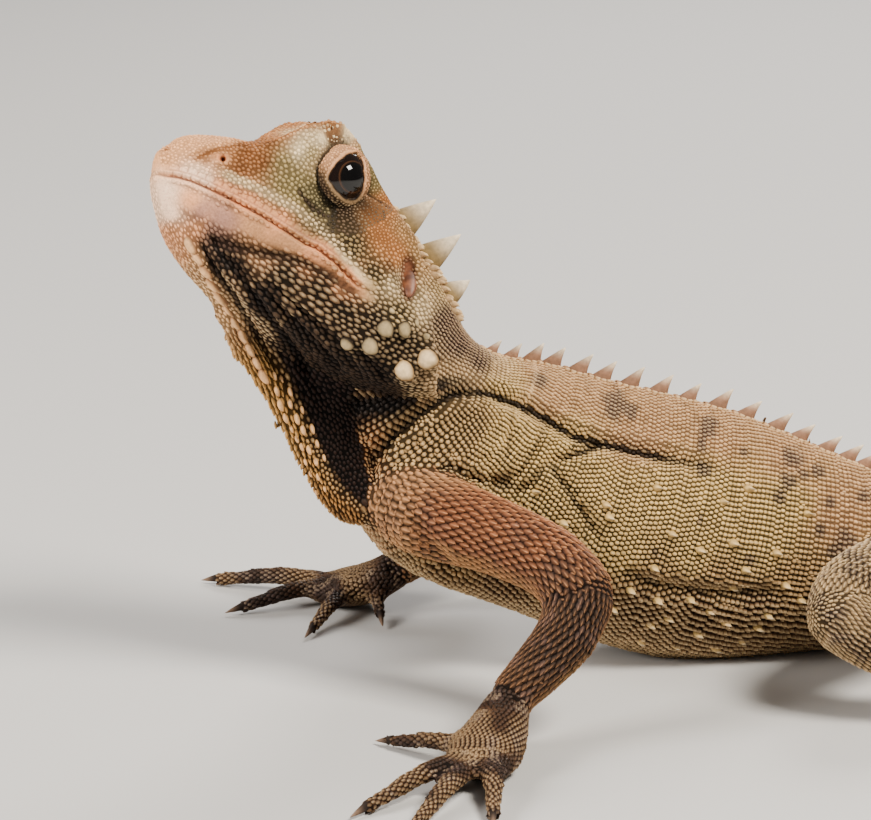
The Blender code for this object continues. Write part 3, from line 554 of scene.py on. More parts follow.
ridge = np.zeros(len(points))
ridge[on_trunk] = (np.abs(across) < RIDGE_WIDTH) & (rise > 0) & (along_trunk < RIDGE_END)
inside = many(HEAD_BACK, points)
ridge[(parts == FLESH.index("dewlap")) & (np.abs(inside[:, 1]) < 3)] = 0.5
for _ in range(RIDGE_ROUNDS):
    points += (neighbour_mean(points) - points) * ridge[:, None] * PULL

# Sharp points that stay on the fan's edge are smoothed by themselves
POINT_ROUNDS, SHARP = 110, 0.05
on_fan = (parts == FLESH.index("dewlap"))[:, None]
for _ in range(POINT_ROUNDS):
    pull = neighbour_mean(points) - points
    sharp = on_fan * (norm(pull, axis=1) > SHARP)[:, None].astype(float)
    points += pull * (neighbour_mean(sharp) + sharp > 0) * on_fan * PULL

DIGITS = {
    "hand_left": [digit_rows(row) for row in FINGERS_LEFT],
    "hand_right": [digit_rows(row) for row in FINGERS_RIGHT],
    "foot_left": [digit_rows(row) for row in TOES_LEFT],
    "foot_right": [digit_rows(row) for row in mirrored(TOES_LEFT, (1, 3))],
}
for name, digits in DIGITS.items():
    chosen = np.where(parts == FLESH.index(name))[0]
    for rows in digits:
        line = Route(rows)
        end, way, _, _ = line.frames(line.length)
        offset = points[chosen] - end
        ahead = offset @ way
        beside = offset - ahead[:, None] * way
        claw = (ahead > 0.1) & (ahead < CLAW_LENGTH + 1.5) & (norm(beside, axis=1) < 1.8)
        squeezed = end + way * 0.35 * (1 - np.exp(-ahead / 0.4))[:, None] + beside * 0.7
        points[chosen[claw]] = squeezed[claw]
set_coordinates(skin, points)
print("points drawn back:", int(spiny.sum()))

# %% [markdown]
# The scales stand on the skin and should end where the solids do, so the skin is drawn
# in by the depth of its scales: most on the arms and least on the head and toes.

# %% Draw the skin in by the depth of the scales
SCALE_DEPTH = {"head": 0.1, "jaw": 0.1, "dewlap": 0.14, "neck": 0.2, "torso": 0.2, "tail": 0.2,
               "upper": 0.26, "forearm": 0.26, "thigh": 0.24, "shin": 0.24, "hand": 0.16, "foot": 0.16}


def by_part(table):
    """Spread a table of part names over the skin's parts."""
    return np.array([next(value for key, value in table.items() if name.startswith(key))
                     for name in FLESH])


inward = by_part(SCALE_DEPTH)[parts][:, None] + SWELL
for _ in range(8):
    inward = neighbour_mean(inward)
points = coordinates(skin) - normals_of(skin) * inward
floor_height = -DESIGN_ORIGIN.z / MM
points[:, 2] = np.maximum(points[:, 2], floor_height + 0.1)
set_coordinates(skin, points)
print("skin drawn in by", round(float(inward.mean()), 2), "mm")

# %% [markdown]
# ## Outlines round the eye
# The eye is the first thing that one looks at. Seen from the middle of the eyeball, the
# opening between the lids is one closed line and the furrow round the orbit another. Both
# are given where the photo shows them. A share then tells for any way from the eyeball
# whether it leads through the opening, below 0, or past the furrow, above 1.

# %% Two outlines round the eye
APERTURE = ((329, 176), (334.5, 167), (344, 158), (353, 152.5), (359, 151.6), (362, 158), (364, 171),
            (364, 184), (361.4, 195), (356, 200.5), (348.5, 200.5), (340, 194), (332.5, 185), (328.5, 180))
ORBIT = ((317, 165.5), (320.6, 158), (327, 150.7), (336, 142.4), (347.5, 138), (357.7, 141.5), (364, 148),
         (368, 156), (370, 170), (369, 190), (361, 208), (347, 210), (333, 205), (323, 195), (317, 180))
EYE_LEFT = Vector((EYE_PLACE[0], -EYE_PLACE[1], EYE_PLACE[2]))
LID_REST = EYE_RADIUS + 0.35


def eye_way(u, v):
    """The way from the left eye's middle to the lid under a pixel, in the head's frame."""
    sight = sight_line(u, v)
    reach = (HEAD @ EYE_LEFT - EYE_POINT).dot(sight)
    near = EYE_POINT + sight * reach - HEAD @ EYE_LEFT
    inward = max(0.0, LID_REST ** 2 - near.length_squared) ** 0.5
    return (HEAD_BACK.to_3x3() @ (near - sight * inward)).normalized()


lid_axis = sum((eye_way(*place) for place in APERTURE), Vector()).normalized()
lid_across = Vector((0, 0, 1)).cross(lid_axis).normalized()
lid_up = lid_axis.cross(lid_across)


def lid_angles(ways):
    """How far each way lies from the axis of the lids, and the angle round it."""
    x, y, z = ways @ np.array(lid_across), ways @ np.array(lid_up), ways @ np.array(lid_axis)
    return np.arccos(np.clip(z, -1, 1)), np.arctan2(y, x)


def outline_round_eye(line):
    """An outline as a table of its angle from the axis for each angle round it."""
    spread, turn = lid_angles(np.array([eye_way(*place) for place in line]))
    order = np.argsort(turn)
    return spread[order], turn[order]


aperture, orbit = outline_round_eye(APERTURE), outline_round_eye(ORBIT)


def eye_shares(points):
    """For points of the skin: which side, the way from that eye, the distance, and the share
    between the opening's rim and the furrow round the orbit."""
    inside = many(HEAD_BACK, points)
    right = inside[:, 1] > 0
    inside[:, 1] = -np.abs(inside[:, 1])
    away = (inside - np.array(EYE_LEFT)) * HEAD_SCALE
    radius = norm(away, axis=1)
    spread, turn = lid_angles(away / radius[:, None])
    rim = np.interp(turn, aperture[1], aperture[0], period=math.tau)
    furrow = np.interp(turn, orbit[1], orbit[0], period=math.tau)
    share = np.where((spread < 1.5) & (radius < 7.5), (spread - rim) / (furrow - rim), 9.0)
    return right, away, radius, share


print("the opening spans", [round(math.degrees(value)) for value in (aperture[0].min(), aperture[0].max())])

# %% [markdown]
# ## Paint
# Skin and scales share one paint. It is worked out for a place on the left side, as the
# photo shows it, and the right side takes the colour of its mirror image. Spots of named
# colours blend into each other, as wet paint does. Lines and blotches are laid over them.

# %% Colours, as read off a screen
PALETTE = {
    # The snout's near-white is partly its own pale colour and partly a painted highlight
    "snout": (255, 214, 180), "lip": (232, 158, 108), "loreal": (134, 80, 38), "cream": (158, 138, 90),
    "brow": (172, 108, 58), "brow_light": (228, 204, 162), "lid": (216, 158, 112),
    "lid_low": (136, 108, 76), "temple": (184, 118, 66), "ear_side": (184, 140, 92),
    # cheek_low is partly the lower cheek's own dark brown and partly painted shade
    "cheek": (142, 118, 76), "cheek_low": (82, 62, 40), "pale": (222, 192, 146),
    "jaw_grey": (160, 118, 102), "jaw_tan": (180, 130, 90), "jaw_line": (120, 66, 48),
    # throat is partly the throat's own dark brown and partly painted shade
    "throat": (42, 28, 17), "gular": (226, 176, 124), "fan": (200, 148, 78), "fan_tip": (150, 92, 42),
    # membrane is partly the fan's own dark skin and partly painted shade
    "membrane": (34, 17, 10), "nape": (196, 160, 116), "nape_green": (170, 140, 88),
    "nape_band": (92, 62, 54), "back": (194, 146, 102), "flank": (224, 186, 114),
    # belly is partly the belly's own brown and partly painted shade
    "flank_low": (166, 128, 78), "belly": (110, 76, 46), "shoulder": (174, 138, 86),
    # forearm and hand are partly their own dark brown and partly painted shade
    "shoulder_tan": (174, 128, 86), "arm": (124, 72, 44), "forearm": (46, 30, 20), "hand": (90, 60, 36),
    "knee": (150, 120, 82), "knee_dark": (92, 68, 48), "tail": (138, 104, 70),
    "tail_dark": (92, 66, 46), "blotch": (84, 64, 60), "dark": (22, 14, 10), "brown_dark": (48, 30, 20),
    # keel, ivory and orange_tip paint the pale tips of scales, partly their own colour and partly a painted
    # highlight; ivory also paints a highlight on the far brow
    "keel": (238, 208, 158), "ivory": (232, 214, 184), "spine": (172, 128, 100),
    "orange_tip": (212, 150, 100), "claw": (52, 40, 34), "claw_tip": (120, 96, 78),
    # olive_dark is partly the grey-green skin under the eye and partly painted shade
    "boss": (176, 154, 114), "snout_top": (234, 168, 116), "olive_dark": (104, 96, 66),
}


def linear(colour):
    """Turn a screen colour into the linear values that a shader works with."""
    shares = np.asarray(colour, float) / 255
    return np.where(shares <= 0.04045, shares / 12.92, ((shares + 0.055) / 1.055) ** 2.4)


INK = {name: linear(colour) for name, colour in PALETTE.items()}


def mix(first, second, share):
    """Blend two colours, or arrays of them, by a share from 0 to 1."""
    share = np.asarray(share, float)[..., None]
    return first * (1 - share) + second * share


print("colours:", len(PALETTE))

# %% Spots of paint on the head and body, by colour, at places in the photo
SPOTS = {
    "snout_top": ((163, 156), (185, 142), (215, 141), (222, 153), (200, 156)),
    "snout": ((195, 170), (168, 192), (166, 212), (205, 180)),
    "lip": (
        (170, 232), (190, 195), (185, 255), (220, 185), (250, 200), (280, 220), (197, 228), (318, 254),
        (350, 282)),
    "loreal": ((245, 150), (262, 158), (240, 168), (270, 140)),
    "cream": ((285, 160), (295, 180), (285, 190), (310, 150), (300, 200), (374, 180), (370, 155)),
    "brow": ((250, 135), (285, 134), (315, 122), (345, 118), (358, 130)),
    "brow_light": ((325, 134), (345, 131), (312, 138), (300, 147), (335, 136)), "lid": ((335, 155),),
    "temple": ((385, 205), (385, 235), (395, 255), (375, 215)),
    "cheek": ((330, 225), (350, 245), (375, 275), (400, 318)), "pale": ((395, 285), (425, 310)),
    "cheek_low": ((320, 290), (345, 310), (375, 325), (285, 275), (405, 350)),
    # Under the eye: partly grey-green skin, partly painted shade
    "olive_dark": ((304, 194), (314, 207), (327, 216), (343, 222)),
    # The throat's dark is partly its own colour; the spots behind the jaw, on the neck, are painted shade
    "throat": (
        (385, 395), (350, 395), (224, 262), (240, 265), (265, 300), (300, 335), (330, 365), (370, 375),
        (212, 245), (345, 430)),
    "fan_tip": ((366, 446), (357, 478)), "jaw_grey": ((214, 234), (200, 212), (225, 220)),
    "gular": ((192, 258), (203, 295), (222, 330)), "jaw_tan": ((255, 228), (285, 245), (250, 255)),
    "ear_side": ((415, 225), (425, 260)),
    "nape": ((410, 200), (440, 270), (470, 375), (500, 372), (450, 375)),
    "nape_green": ((420, 215), (436, 250), (448, 285)),
    "nape_band": ((444, 318), (462, 345), (480, 362)),
    "back": (
        (540, 370), (600, 385), (660, 405), (720, 425), (790, 450), (860, 490), (560, 400), (640, 430),
        (840, 520), (900, 510), (950, 530)),
    "flank": (
        (500, 382), (510, 440), (560, 440), (540, 490), (600, 490), (660, 500), (720, 500), (780, 510),
        (620, 545), (700, 550), (770, 545), (900, 560)),
    "shoulder": ((430, 430), (470, 425), (400, 450)), "shoulder_tan": ((385, 490), (400, 530)),
    "flank_low": ((650, 580), (720, 580), (790, 575), (420, 560), (460, 575), (950, 590)),
    "belly": ((640, 605), (700, 615), (760, 610), (820, 605), (590, 600), (500, 590), (900, 640)),
}
SPOT_NAMES = [name for name, places in SPOTS.items() for _ in places]
SPOT_COLOURS = np.array([INK[name] for name in SPOT_NAMES])
SPOT_PLACES = np.array([place for places in SPOTS.values() for place in places], float)
# How light the skin between the scales is, as a share of their paint: partly its own colour, partly painted
# shade
GAP_LIGHT = {
    "snout": 0.75, "lip": 0.45, "loreal": 0.5, "cream": 0.42, "brow": 0.65, "brow_light": 0.8,
    "lid": 0.6, "temple": 0.6, "olive_dark": 0.35, "ear_side": 0.45, "pale": 0.4, "jaw_grey": 0.5,
    "jaw_tan": 0.5, "nape": 0.35, "snout_top": 0.75, "nape_green": 0.35, "back": 0.3, "gular": 0.35,
}
PLAIN_GAP, LIMB_GAP = 0.09, 0.15
SPOT_GAPS = np.array([GAP_LIGHT.get(name, PLAIN_GAP) for name in SPOT_NAMES])
# Dark blotches: place in the photo, radius
PUCKER = (503, 482)
BLOTCHES = ((540, 380, 9), (615, 404, 13), (630, 410, 7), (706, 426, 11), (703, 443, 7), (792, 456, 12),
            (787, 480, 9), (780, 496, 9), (862, 500, 12), (704, 470, 7), (848, 540, 12), (835, 552, 9),
            (905, 500, 12), (950, 515, 13), (930, 560, 11), (805, 473, 4), (830, 503, 5), (818, 470, 5),
            (745, 452, 4), (655, 552, 5), (750, 560, 6), (700, 520, 4), (820, 530, 6))
print("spots of paint:", len(SPOT_NAMES), "blotches:", len(BLOTCHES))

# %% Lines in the photo: the mouth, the throat's grooves and the folds of the body
MOUTH_LINE = ((150, 174), (158, 175), (176, 177), (191, 181), (205, 187), (222, 195), (242, 205), (260, 215),
              (287, 232), (306, 244), (318, 249), (335, 262), (345, 272), (358, 285), (369, 292))
THROAT_GROOVES = (
    ((197, 236), (214, 268), (235, 298), (249, 322), (262, 345), (276, 366), (290, 390)),
    ((206, 234), (226, 262), (246, 285), (262, 305), (278, 328), (297, 353), (312, 378), (325, 400)),
    ((222, 250), (249, 278), (272, 298), (289, 315), (306, 332), (323, 349), (345, 375)),
    ((262, 278), (290, 300), (315, 325), (338, 347), (362, 370)),
    ((290, 300), (318, 322), (342, 342), (372, 362), (392, 385)),
)
JAW_HOLLOW = ((200, 234), (232, 246), (260, 254), (283, 256), (306, 264), (329, 275), (350, 290), (366, 300))
# Each fold: half width in pixels and strength of its painted shade, half width and depth of
# its groove and height of its lip in mm, the lip's side, how its ends taper, then its line
FOLDS = {
    "back": (5.0, 0.97, 0.85, 1.25, 0.4, -1, 0.25, ((436, 400), (460, 391), (490, 393), (520, 405),
        (548, 420), (575, 437), (605, 444), (640, 452), (680, 461), (715, 467), (745, 471))),
    "branch": (3.6, 0.92, 0.7, 1.0, 0.3, 0, 0.08, ((605, 446), (585, 452), (565, 458), (553, 461))),
    "rib": (3.4, 0.8, 0.6, 1.0, 0.35, 1, 0.2, ((545, 458), (556, 472), (575, 500), (592, 525),
        (606, 550))),
    "crease_1": (2.2, 0.5, 0.5, 0.5, 0.3, 0, 0.25, ((513, 406), (511, 428), (508, 452), (501, 476))),
    "crease_2": (2.6, 0.55, 0.5, 0.6, 0.3, 0, 0.25, ((549, 424), (540, 441), (529, 460), (514, 482))),
    "crease_3": (4.0, 0.6, 0.5, 0.5, 0.3, 0, 0.25, ((494, 487), (478, 478), (462, 470), (446, 467),
        (428, 472))),
    "crease_4": (4.0, 0.65, 0.5, 0.6, 0.3, 0, 0.25, ((548, 462), (540, 472), (528, 486), (512, 498))),
    "shoulder": (5.5, 0.9, 0.9, 1.2, 0.35, 0, 0.08, ((478, 389), (450, 398), (420, 414), (395, 435),
        (373, 460), (364, 490))),
    "arm": (3.5, 0.4, 1.1, 0.6, 0.2, 0, 0.3, ((412, 500), (415, 525), (430, 545), (450, 565),
        (480, 575))),
    # The neck's fold: a wide band of painted shadow behind the corner of the jaw
    "neck": (13.0, 0.92, 1.3, 0.8, 0.0, 0, 0.2, ((336, 402), (362, 404), (390, 400), (415, 393),
        (436, 384), (460, 382), (486, 392))),
    "flank": (2.6, 0.75, 0.8, 0.8, 0.4, -1, 0.25, ((612, 566), (640, 576), (660, 583), (690, 588),
        (730, 591), (770, 590), (795, 585))),
}
# Colour, half width in pixels, strength, places
MARKS = (
    ("pale", 6.5, 0.85, ((212, 168), (235, 179), (262, 190), (299, 211), (330, 237), (352, 262), (374, 290))),
    ("jaw_line", 1.6, 0.8, MOUTH_LINE),
    # Painted shadow in the hollow under the jaw
    ("brown_dark", 7.5, 0.85, JAW_HOLLOW),
    ("loreal", 7.0, 0.6, ((198, 162), (212, 156), (228, 152), (240, 158), (252, 150))),
    ("loreal", 3.0, 0.75, ((190, 163), (203, 155), (217, 149), (236, 146), (256, 143), (280, 138))),
    ("orange_tip", 2.0, 0.8, ((184, 159), (197, 151), (211, 145), (230, 142), (252, 139), (281, 133))),
    ("brow", 5.0, 0.75, ((268, 139), (285, 132), (299, 127), (320, 121), (345, 119), (360, 131))),
    # A painted highlight on the crest of the far brow
    ("ivory", 3.2, 0.8, ((281, 134), (288, 129.5), (297, 125))),
    ("brow_light", 7.5, 0.8, ((312, 143), (324, 137), (336, 132), (350, 131), (360, 136))),
    ("lip", 4.5, 0.8, ((216, 158), (226, 158))),
    # Painted shade in the crease under the eye
    ("brown_dark", 3.2, 0.9, ((297, 186), (303, 197), (312, 207), (325, 216), (341, 222), (357, 220),
                              (368, 210))),
    ("brown_dark", 5.0, 0.5, ((386, 258), (396, 276), (404, 300))),
# The throat's grooves are painted dark: partly their own dark skin, partly painted shade
) + tuple(("dark", 4.2 if number < 2 else 2.6, 0.85 if number < 2 else 0.6, line)
          for number, line in enumerate(THROAT_GROOVES))


def along_line(line, places):
    """The distance of each place from a line in the photo, negative on its upper or left
    side, and how far along the line that is."""
    line = np.asarray(line, float)
    starts, spans = line[:-1], np.diff(line, axis=0)
    lengths = norm(spans, axis=1)
    before = running(lengths)
    best = np.full(len(places), 1e9)
    share, side = np.zeros(len(places)), np.ones(len(places))
    for start, span, length, done in zip(starts, spans, lengths, before):
        away = places - start
        t = np.clip(away @ span / length ** 2, 0, 1)
        gap = norm(away - t[:, None] * span, axis=1)
        nearer = gap < best
        best[nearer] = gap[nearer]
        share[nearer] = ((done + t * length) / before[-1])[nearer]
        side[nearer] = np.sign(span[0] * away[:, 1] - span[1] * away[:, 0])[nearer]
    return best * side, share


SEAM_STEP, SEAM_ROW = 9.0, 6.5
MOUTH_LENGTH = float(norm(np.diff(np.array(MOUTH_LINE, float), axis=0), axis=1).sum())


def lip_seams(places):
    """1 on the thin lines between the plates of the upper lip, in two rows."""
    gap, share = along_line(MOUTH_LINE, places)
    along = share * MOUTH_LENGTH / SEAM_STEP + 0.5 * (gap < -SEAM_ROW)
    seam = np.minimum(np.abs(along % 1 - 0.5) * SEAM_STEP, np.abs(gap + SEAM_ROW))
    rows = soft_step(-gap, 0.3, 1.2) * (1 - soft_step(-gap, 11.5, 13.0))
    ends = soft_step(share, 0.03, 0.1) * (1 - soft_step(share, 0.75, 0.95))
    return (1 - soft_step(seam, 0.4, 1.4)) * rows * ends


print("lines drawn on the head:", len(MARKS), "and on the body:", len(FOLDS))

# %% The left side's place of any point
HEAD_SET = number_of("head", "jaw", "dewlap")
MIRROR = Matrix.Diagonal((1, -1, 1, 1))
HEAD_MIRROR = HEAD @ MIRROR @ HEAD_BACK


def left_twins(points, parts, normals=None):
    """Move each point of the right side, and its normal, to its mirror image on the left."""
    on_head_parts = np.isin(parts, HEAD_SET)
    on_right = np.where(on_head_parts, many(HEAD_BACK, points)[:, 1], points[:, 1]) > 0
    twins = points.copy()
    turned = None if normals is None else normals.copy()
    for mirror, chosen in ((HEAD_MIRROR, on_right & on_head_parts), (MIRROR, on_right & ~on_head_parts)):
        twins[chosen] = many(mirror, points[chosen])
        if normals is not None:
            turned[chosen] = unit(normals[chosen] @ np.array(mirror)[:3, :3].T)
    return twins if normals is None else (twins, turned)


def speckle(points, size):
    """A smooth random value from -1 to 1 at each point, with lumps of about this size."""
    return np.array([noise.noise(Vector(point) / size) for point in points])


LIMB_WORDS = ("upper", "forearm", "hand", "thigh", "shin", "foot")
ARMS = {"left": ARM_LEFT, "right": ARM_RIGHT}


def starts_with(parts, *beginnings):
    wanted = [number for number, name in enumerate(FLESH) if name.startswith(beginnings)]
    return np.isin(parts, wanted)


def near_lines(lines, places):
    """1 on any of the lines, given with half widths, falling to 0 beside them."""
    shares = [1 - soft_step(np.abs(along_line(line, places)[0]) / width, 0.45, 1.0) for width, line in lines]
    return np.max(shares, axis=0)


# Smooth skin of the head: half width in pixels, then places
SMOOTH = (
    (6.5, tuple((u + 4, v - 6) for u, v in MOUTH_LINE[1:])),
    (3.5, tuple((u - 1, v + 2) for u, v in MOUTH_LINE[1:])),
    (11, ((163, 182), (167, 200), (171, 212))), (13, ((168, 190), (190, 200), (215, 212), (232, 222))),
    (11, ((240, 222), (268, 236), (292, 246))), (5.5, ((290, 242), (320, 262), (345, 285), (372, 298))),
    (7, ((154, 152), (156, 166))), (6, ((322, 138), (334, 132), (348, 130), (360, 135))),
    (6, ((214, 158), (226, 158))), (6, ((408, 266), (409, 290))),
)


def smoothness(points, parts):
    """1 where the head's skin is smooth and has no scales."""
    twins = left_twins(points, parts)
    smooth = near_lines(SMOOTH, photo_place(twins)) * np.isin(parts, HEAD_PARTS)
    return np.maximum(smooth, eye_shares(points)[3] < 0.2)


# %% The paint
def head_paint(places, points, parts, colours):
    """Lay the lines, the lids and the fan over the head's paint, with painted shade in its grooves and
    hollows.
    """
    wobble = 0.8 * speckle(points, 1.3)
    for name, width, strength, line in MARKS:
        gap, share = along_line(line, places)
        ends = soft_step(share, -0.001, 0.1) * (1 - soft_step(share, 0.9, 1.001))
        drawn = (1 - soft_step(np.abs(gap) / width + 0.25 * wobble, 0.35, 1.1)) * ends * strength
        colours = mix(colours, INK[name], drawn)
    colours = mix(colours, INK["jaw_line"], 0.5 * lip_seams(places))
    # Painted shade in the hollow round the ear drum
    drum = np.hypot((places[:, 0] - 408.5) / 8, (places[:, 1] - 278) / 22)
    colours = mix(colours, INK["jaw_line"], 0.85 - 0.85 * soft_step(drum, 0.8, 1.25))
    hole = norm(places - (222.5, 159), axis=1)
    colours = mix(colours, INK["jaw_line"], 1 - soft_step(hole, 1.6, 4.0))
    # Painted shade in the nostril's opening
    colours = mix(colours, INK["dark"], 1 - soft_step(hole, 0.8, 2.0))
    _, away, _, share = eye_shares(points)
    low = soft_step(-(away @ np.array(lid_up)), -0.2, 1.8)
    lid = mix(INK["lid"], INK["lid_low"], low)
    colours = mix(colours, lid, soft_step(share, -0.2, 0.0) * (1 - soft_step(share, 0.8, 0.95)))
    # Painted shade in the lower hollow of the orbit
    hollow = low * soft_step(share, 0.24, 0.42) * (1 - soft_step(share, 0.85, 1.0))
    colours = mix(colours, INK["brown_dark"], 0.75 * hollow)
    colours = mix(colours, INK["dark"], 1 - soft_step(np.abs(share), 0.02, 0.1))
    # Painted shade in the furrow round the orbit
    colours = mix(colours, INK["dark"], 0.9 - 0.9 * soft_step(np.abs(share - 1.0), 0.07, 0.2))
    # The fan: a golden front edge and a dark membrane, partly its own colour and partly painted shade
    edge, _ = along_line(FAN_FRONT, places)
    inside = soft_step(np.abs(edge), 22, 44)
    fan = mix(mix(INK["fan"], INK["membrane"], inside), INK["fan_tip"],
              soft_step(places[:, 1], 440, 530) * (1 - inside) * 0.7)
    on_fan = (parts == FLESH.index("dewlap")) * soft_step(places[:, 1], 325, 375)
    return mix(colours, fan, on_fan)


FAN_FRONT = ((236, 362), (255, 395), (268, 425), (280, 455), (295, 485), (312, 513), (334, 532))


def body_paint(places, points, under, colours):
    """Lay the blotches, the folds' painted shade and the tail's bands over the body's paint."""
    wave, fine = speckle(points, 5.0), speckle(points, 1.1)
    s = spine.nearest(points)
    band = soft_step(np.sin((s + 2.5 * wave) * math.tau / 17.0) + 0.3 * fine, -0.2, 0.45)
    tail = mix(INK["tail"], INK["tail_dark"], band)
    colours = mix(colours, tail, soft_step(s, 92, 116))
    blotch = np.zeros(len(points))
    for u, v, radius in BLOTCHES:
        gap = norm((places - (u, v)) * (1.0, 0.8), axis=1) / radius
        blotch = np.maximum(blotch, 1 - soft_step(gap + 0.55 * fine + 0.5 * wave, 0.55, 1.2))
    colours = mix(colours, INK["blotch"], blotch * 0.8)
    # Painted shade in the pucker of the armpit
    pucker = norm((places - PUCKER) * (0.7, 1.0), axis=1) / 11
    colours = mix(colours, INK["brown_dark"], 0.75 - 0.75 * soft_step(pucker + 0.4 * fine, 0.3, 1.2))
    # Partly the belly's own brown and partly painted shade: skin that faces down takes the belly colour
    colours = mix(colours, INK["belly"], under * 0.75)
    # Painted shade in the folds, wider below their line
    for width, strength, *_, line in FOLDS.values():
        gap, share = along_line(line, places)
        ends = soft_step(share, -0.001, 0.15) * (1 - soft_step(share, 0.7, 1.001))
        above = np.where(gap < 0, 0.75, 1.6)
        drawn = (1 - soft_step(np.abs(gap) / (width * above), 0.3, 1.1)) * ends * strength
        colours = mix(colours, INK["dark"], drawn * (1 - under))
    return colours


SPOT_BLUR, GRAIN_BLUR, FLOW_BLUR = 90, 60, 200


def nearness(places, spots, blur):
    """How much each spot of the photo counts at each place: more the nearer it is."""
    weights = 1 / (((places[:, None] - spots[None]) ** 2).sum(2) + blur) ** 2
    return weights / weights.sum(1)[:, None]


def gap_light(points, parts):
    """How light the gaps between the scales are at each point: partly their own colour, partly painted shade.
    """
    places = photo_place(left_twins(points, parts))
    light = nearness(places, SPOT_PLACES, SPOT_BLUR) @ SPOT_GAPS
    light[starts_with(parts, *LIMB_WORDS, "tail")] = LIMB_GAP
    return light


def paint(points, parts, under):
    """The colour of the scales at each point. under rises to 1 where the skin faces down."""
    twins = left_twins(points, parts)
    places = photo_place(twins)
    drift = 6 * np.stack([speckle(twins, 3.5), speckle(twins + 40, 3.5)], axis=1)
    colours = nearness(places + drift, SPOT_PLACES, SPOT_BLUR) @ SPOT_COLOURS
    chosen = np.isin(parts, HEAD_SET)
    colours[chosen] = head_paint(places[chosen], points[chosen], parts[chosen], colours[chosen])
    chosen = starts_with(parts, "torso", "neck", "tail")
    colours[chosen] = body_paint(places[chosen], points[chosen], under[chosen], colours[chosen])
    wave, fine = speckle(points, 5.0), speckle(points, 1.6)
    limb = np.tile(INK["arm"], (len(points), 1))
    for word, rows in ARMS.items():
        chosen = np.isin(parts, number_of("upper_arm_" + word, "forearm_" + word))
        elbow, way = np.array(rows[4][:3]), unit(np.subtract(rows[5][:3], rows[3][:3]))
        past = (points[chosen] - elbow) @ way + 1.5 * wave[chosen]
        from_shoulder = norm(points[chosen] - np.array(rows[0][:3]), axis=1)
        own = mix(INK["shoulder_tan"], INK["arm"], soft_step(from_shoulder + 2 * wave[chosen], 7.0, 14.0))
        own = mix(own, INK["forearm"], soft_step(past + 1.5 * fine[chosen], -8.0, 3.0))
        own = mix(own, INK["flank_low"], 0.6 * under[chosen])
        behind = norm(points[chosen] - elbow - (1.5, 0, 0), axis=1)
        limb[chosen] = mix(own, INK["brown_dark"], 0.35 - 0.35 * soft_step(behind, 2.5, 5.5))
    legs = starts_with(parts, "thigh", "shin")
    bands = soft_step(np.sin((points[:, 0] * 0.8 + points[:, 2] + 3 * wave) * math.tau / 7.5), -0.3, 0.6)
    limb[legs] = mix(INK["knee"], INK["knee_dark"], bands * 0.8)[legs]
    # Painted shade along the fold of the upper arm
    arm_fold_shade = 0.35 - 0.35 * soft_step(np.abs(along_line(FOLDS["arm"][-1], places)[0]), 1.5, 5.0)
    limb = mix(limb, INK["brown_dark"], starts_with(parts, "upper") * arm_fold_shade)
    ends = starts_with(parts, "hand", "foot")
    limb[ends] = mix(INK["hand"], INK["forearm"], soft_step(wave, -0.2, 0.4))[ends]
    for word, rows in ARMS.items():
        from_wrist = norm(points - np.array(rows[-1][:3]), axis=1) + 1.5 * wave
        blend = 0.5 - 0.5 * soft_step(from_wrist, 1.5, 7.0)
        for name, other in (("hand_" + word, "forearm"), ("forearm_" + word, "hand")):
            limb = mix(limb, INK[other], blend * np.isin(parts, number_of(name)))
    patch = soft_step(fine + 0.5 * wave, 0.1, 0.45)
    limb = mix(limb, INK["blotch"], patch * np.where(starts_with(parts, "upper"), 0.25, 0.6))
    colours = np.where(starts_with(parts, *LIMB_WORDS)[:, None], limb, colours)
    return colours * (1 + 0.12 * speckle(points, 2.2)[:, None])


def tip_paint(points, parts, colours, under):
    """The paler colour of the tips of the scales: partly their own pale keels, partly a painted highlight."""
    places = photo_place(left_twins(points, parts))
    share = np.full(len(points), 0.3)
    share[starts_with(parts, "torso", "neck")] = 0.62
    low = np.maximum(under, soft_step(places[:, 1], 575, 600) * starts_with(parts, "torso"))
    share = np.maximum(share, low * 0.95)
    upper_head = np.isin(parts, HEAD_SET) * (1 - soft_step(places[:, 1], 235, 275))
    share -= 0.22 * upper_head
    share[starts_with(parts, "shin", "thigh")] = 0.7
    share[starts_with(parts, "hand", "foot")] = 0.5
    share[starts_with(parts, "forearm")] = 0.36
    share[starts_with(parts, "upper")] = 0.65
    pale = np.tile(INK["keel"], (len(points), 1))
    pale[starts_with(parts, "upper", "forearm")] = INK["orange_tip"]
    darkness = pale.sum(1) / np.maximum(colours.sum(1), 0.01)
    share = share * (1 - soft_step(darkness, 6, 20) * ~starts_with(parts, "forearm", "upper"))
    return mix(colours * 1.1, pale, share)


sample = np.array([[33.0, -5.0, 28.0]])
print("paint at the middle of the back:", paint(sample, np.array(number_of("torso")), np.zeros(1)).round(2))

# %% [markdown]
# ## Sculpt the head and the folds
# Finer forms are pressed into the skin, or raised from it, as a sculptor draws a tool
# along a line. Each line is given where the photo shows it, and works on the left side
# and on its mirror image alike. A point of the skin moves along its own normal, less the
# further it is from the line. The lips need smaller faces first, or their line is jagged.

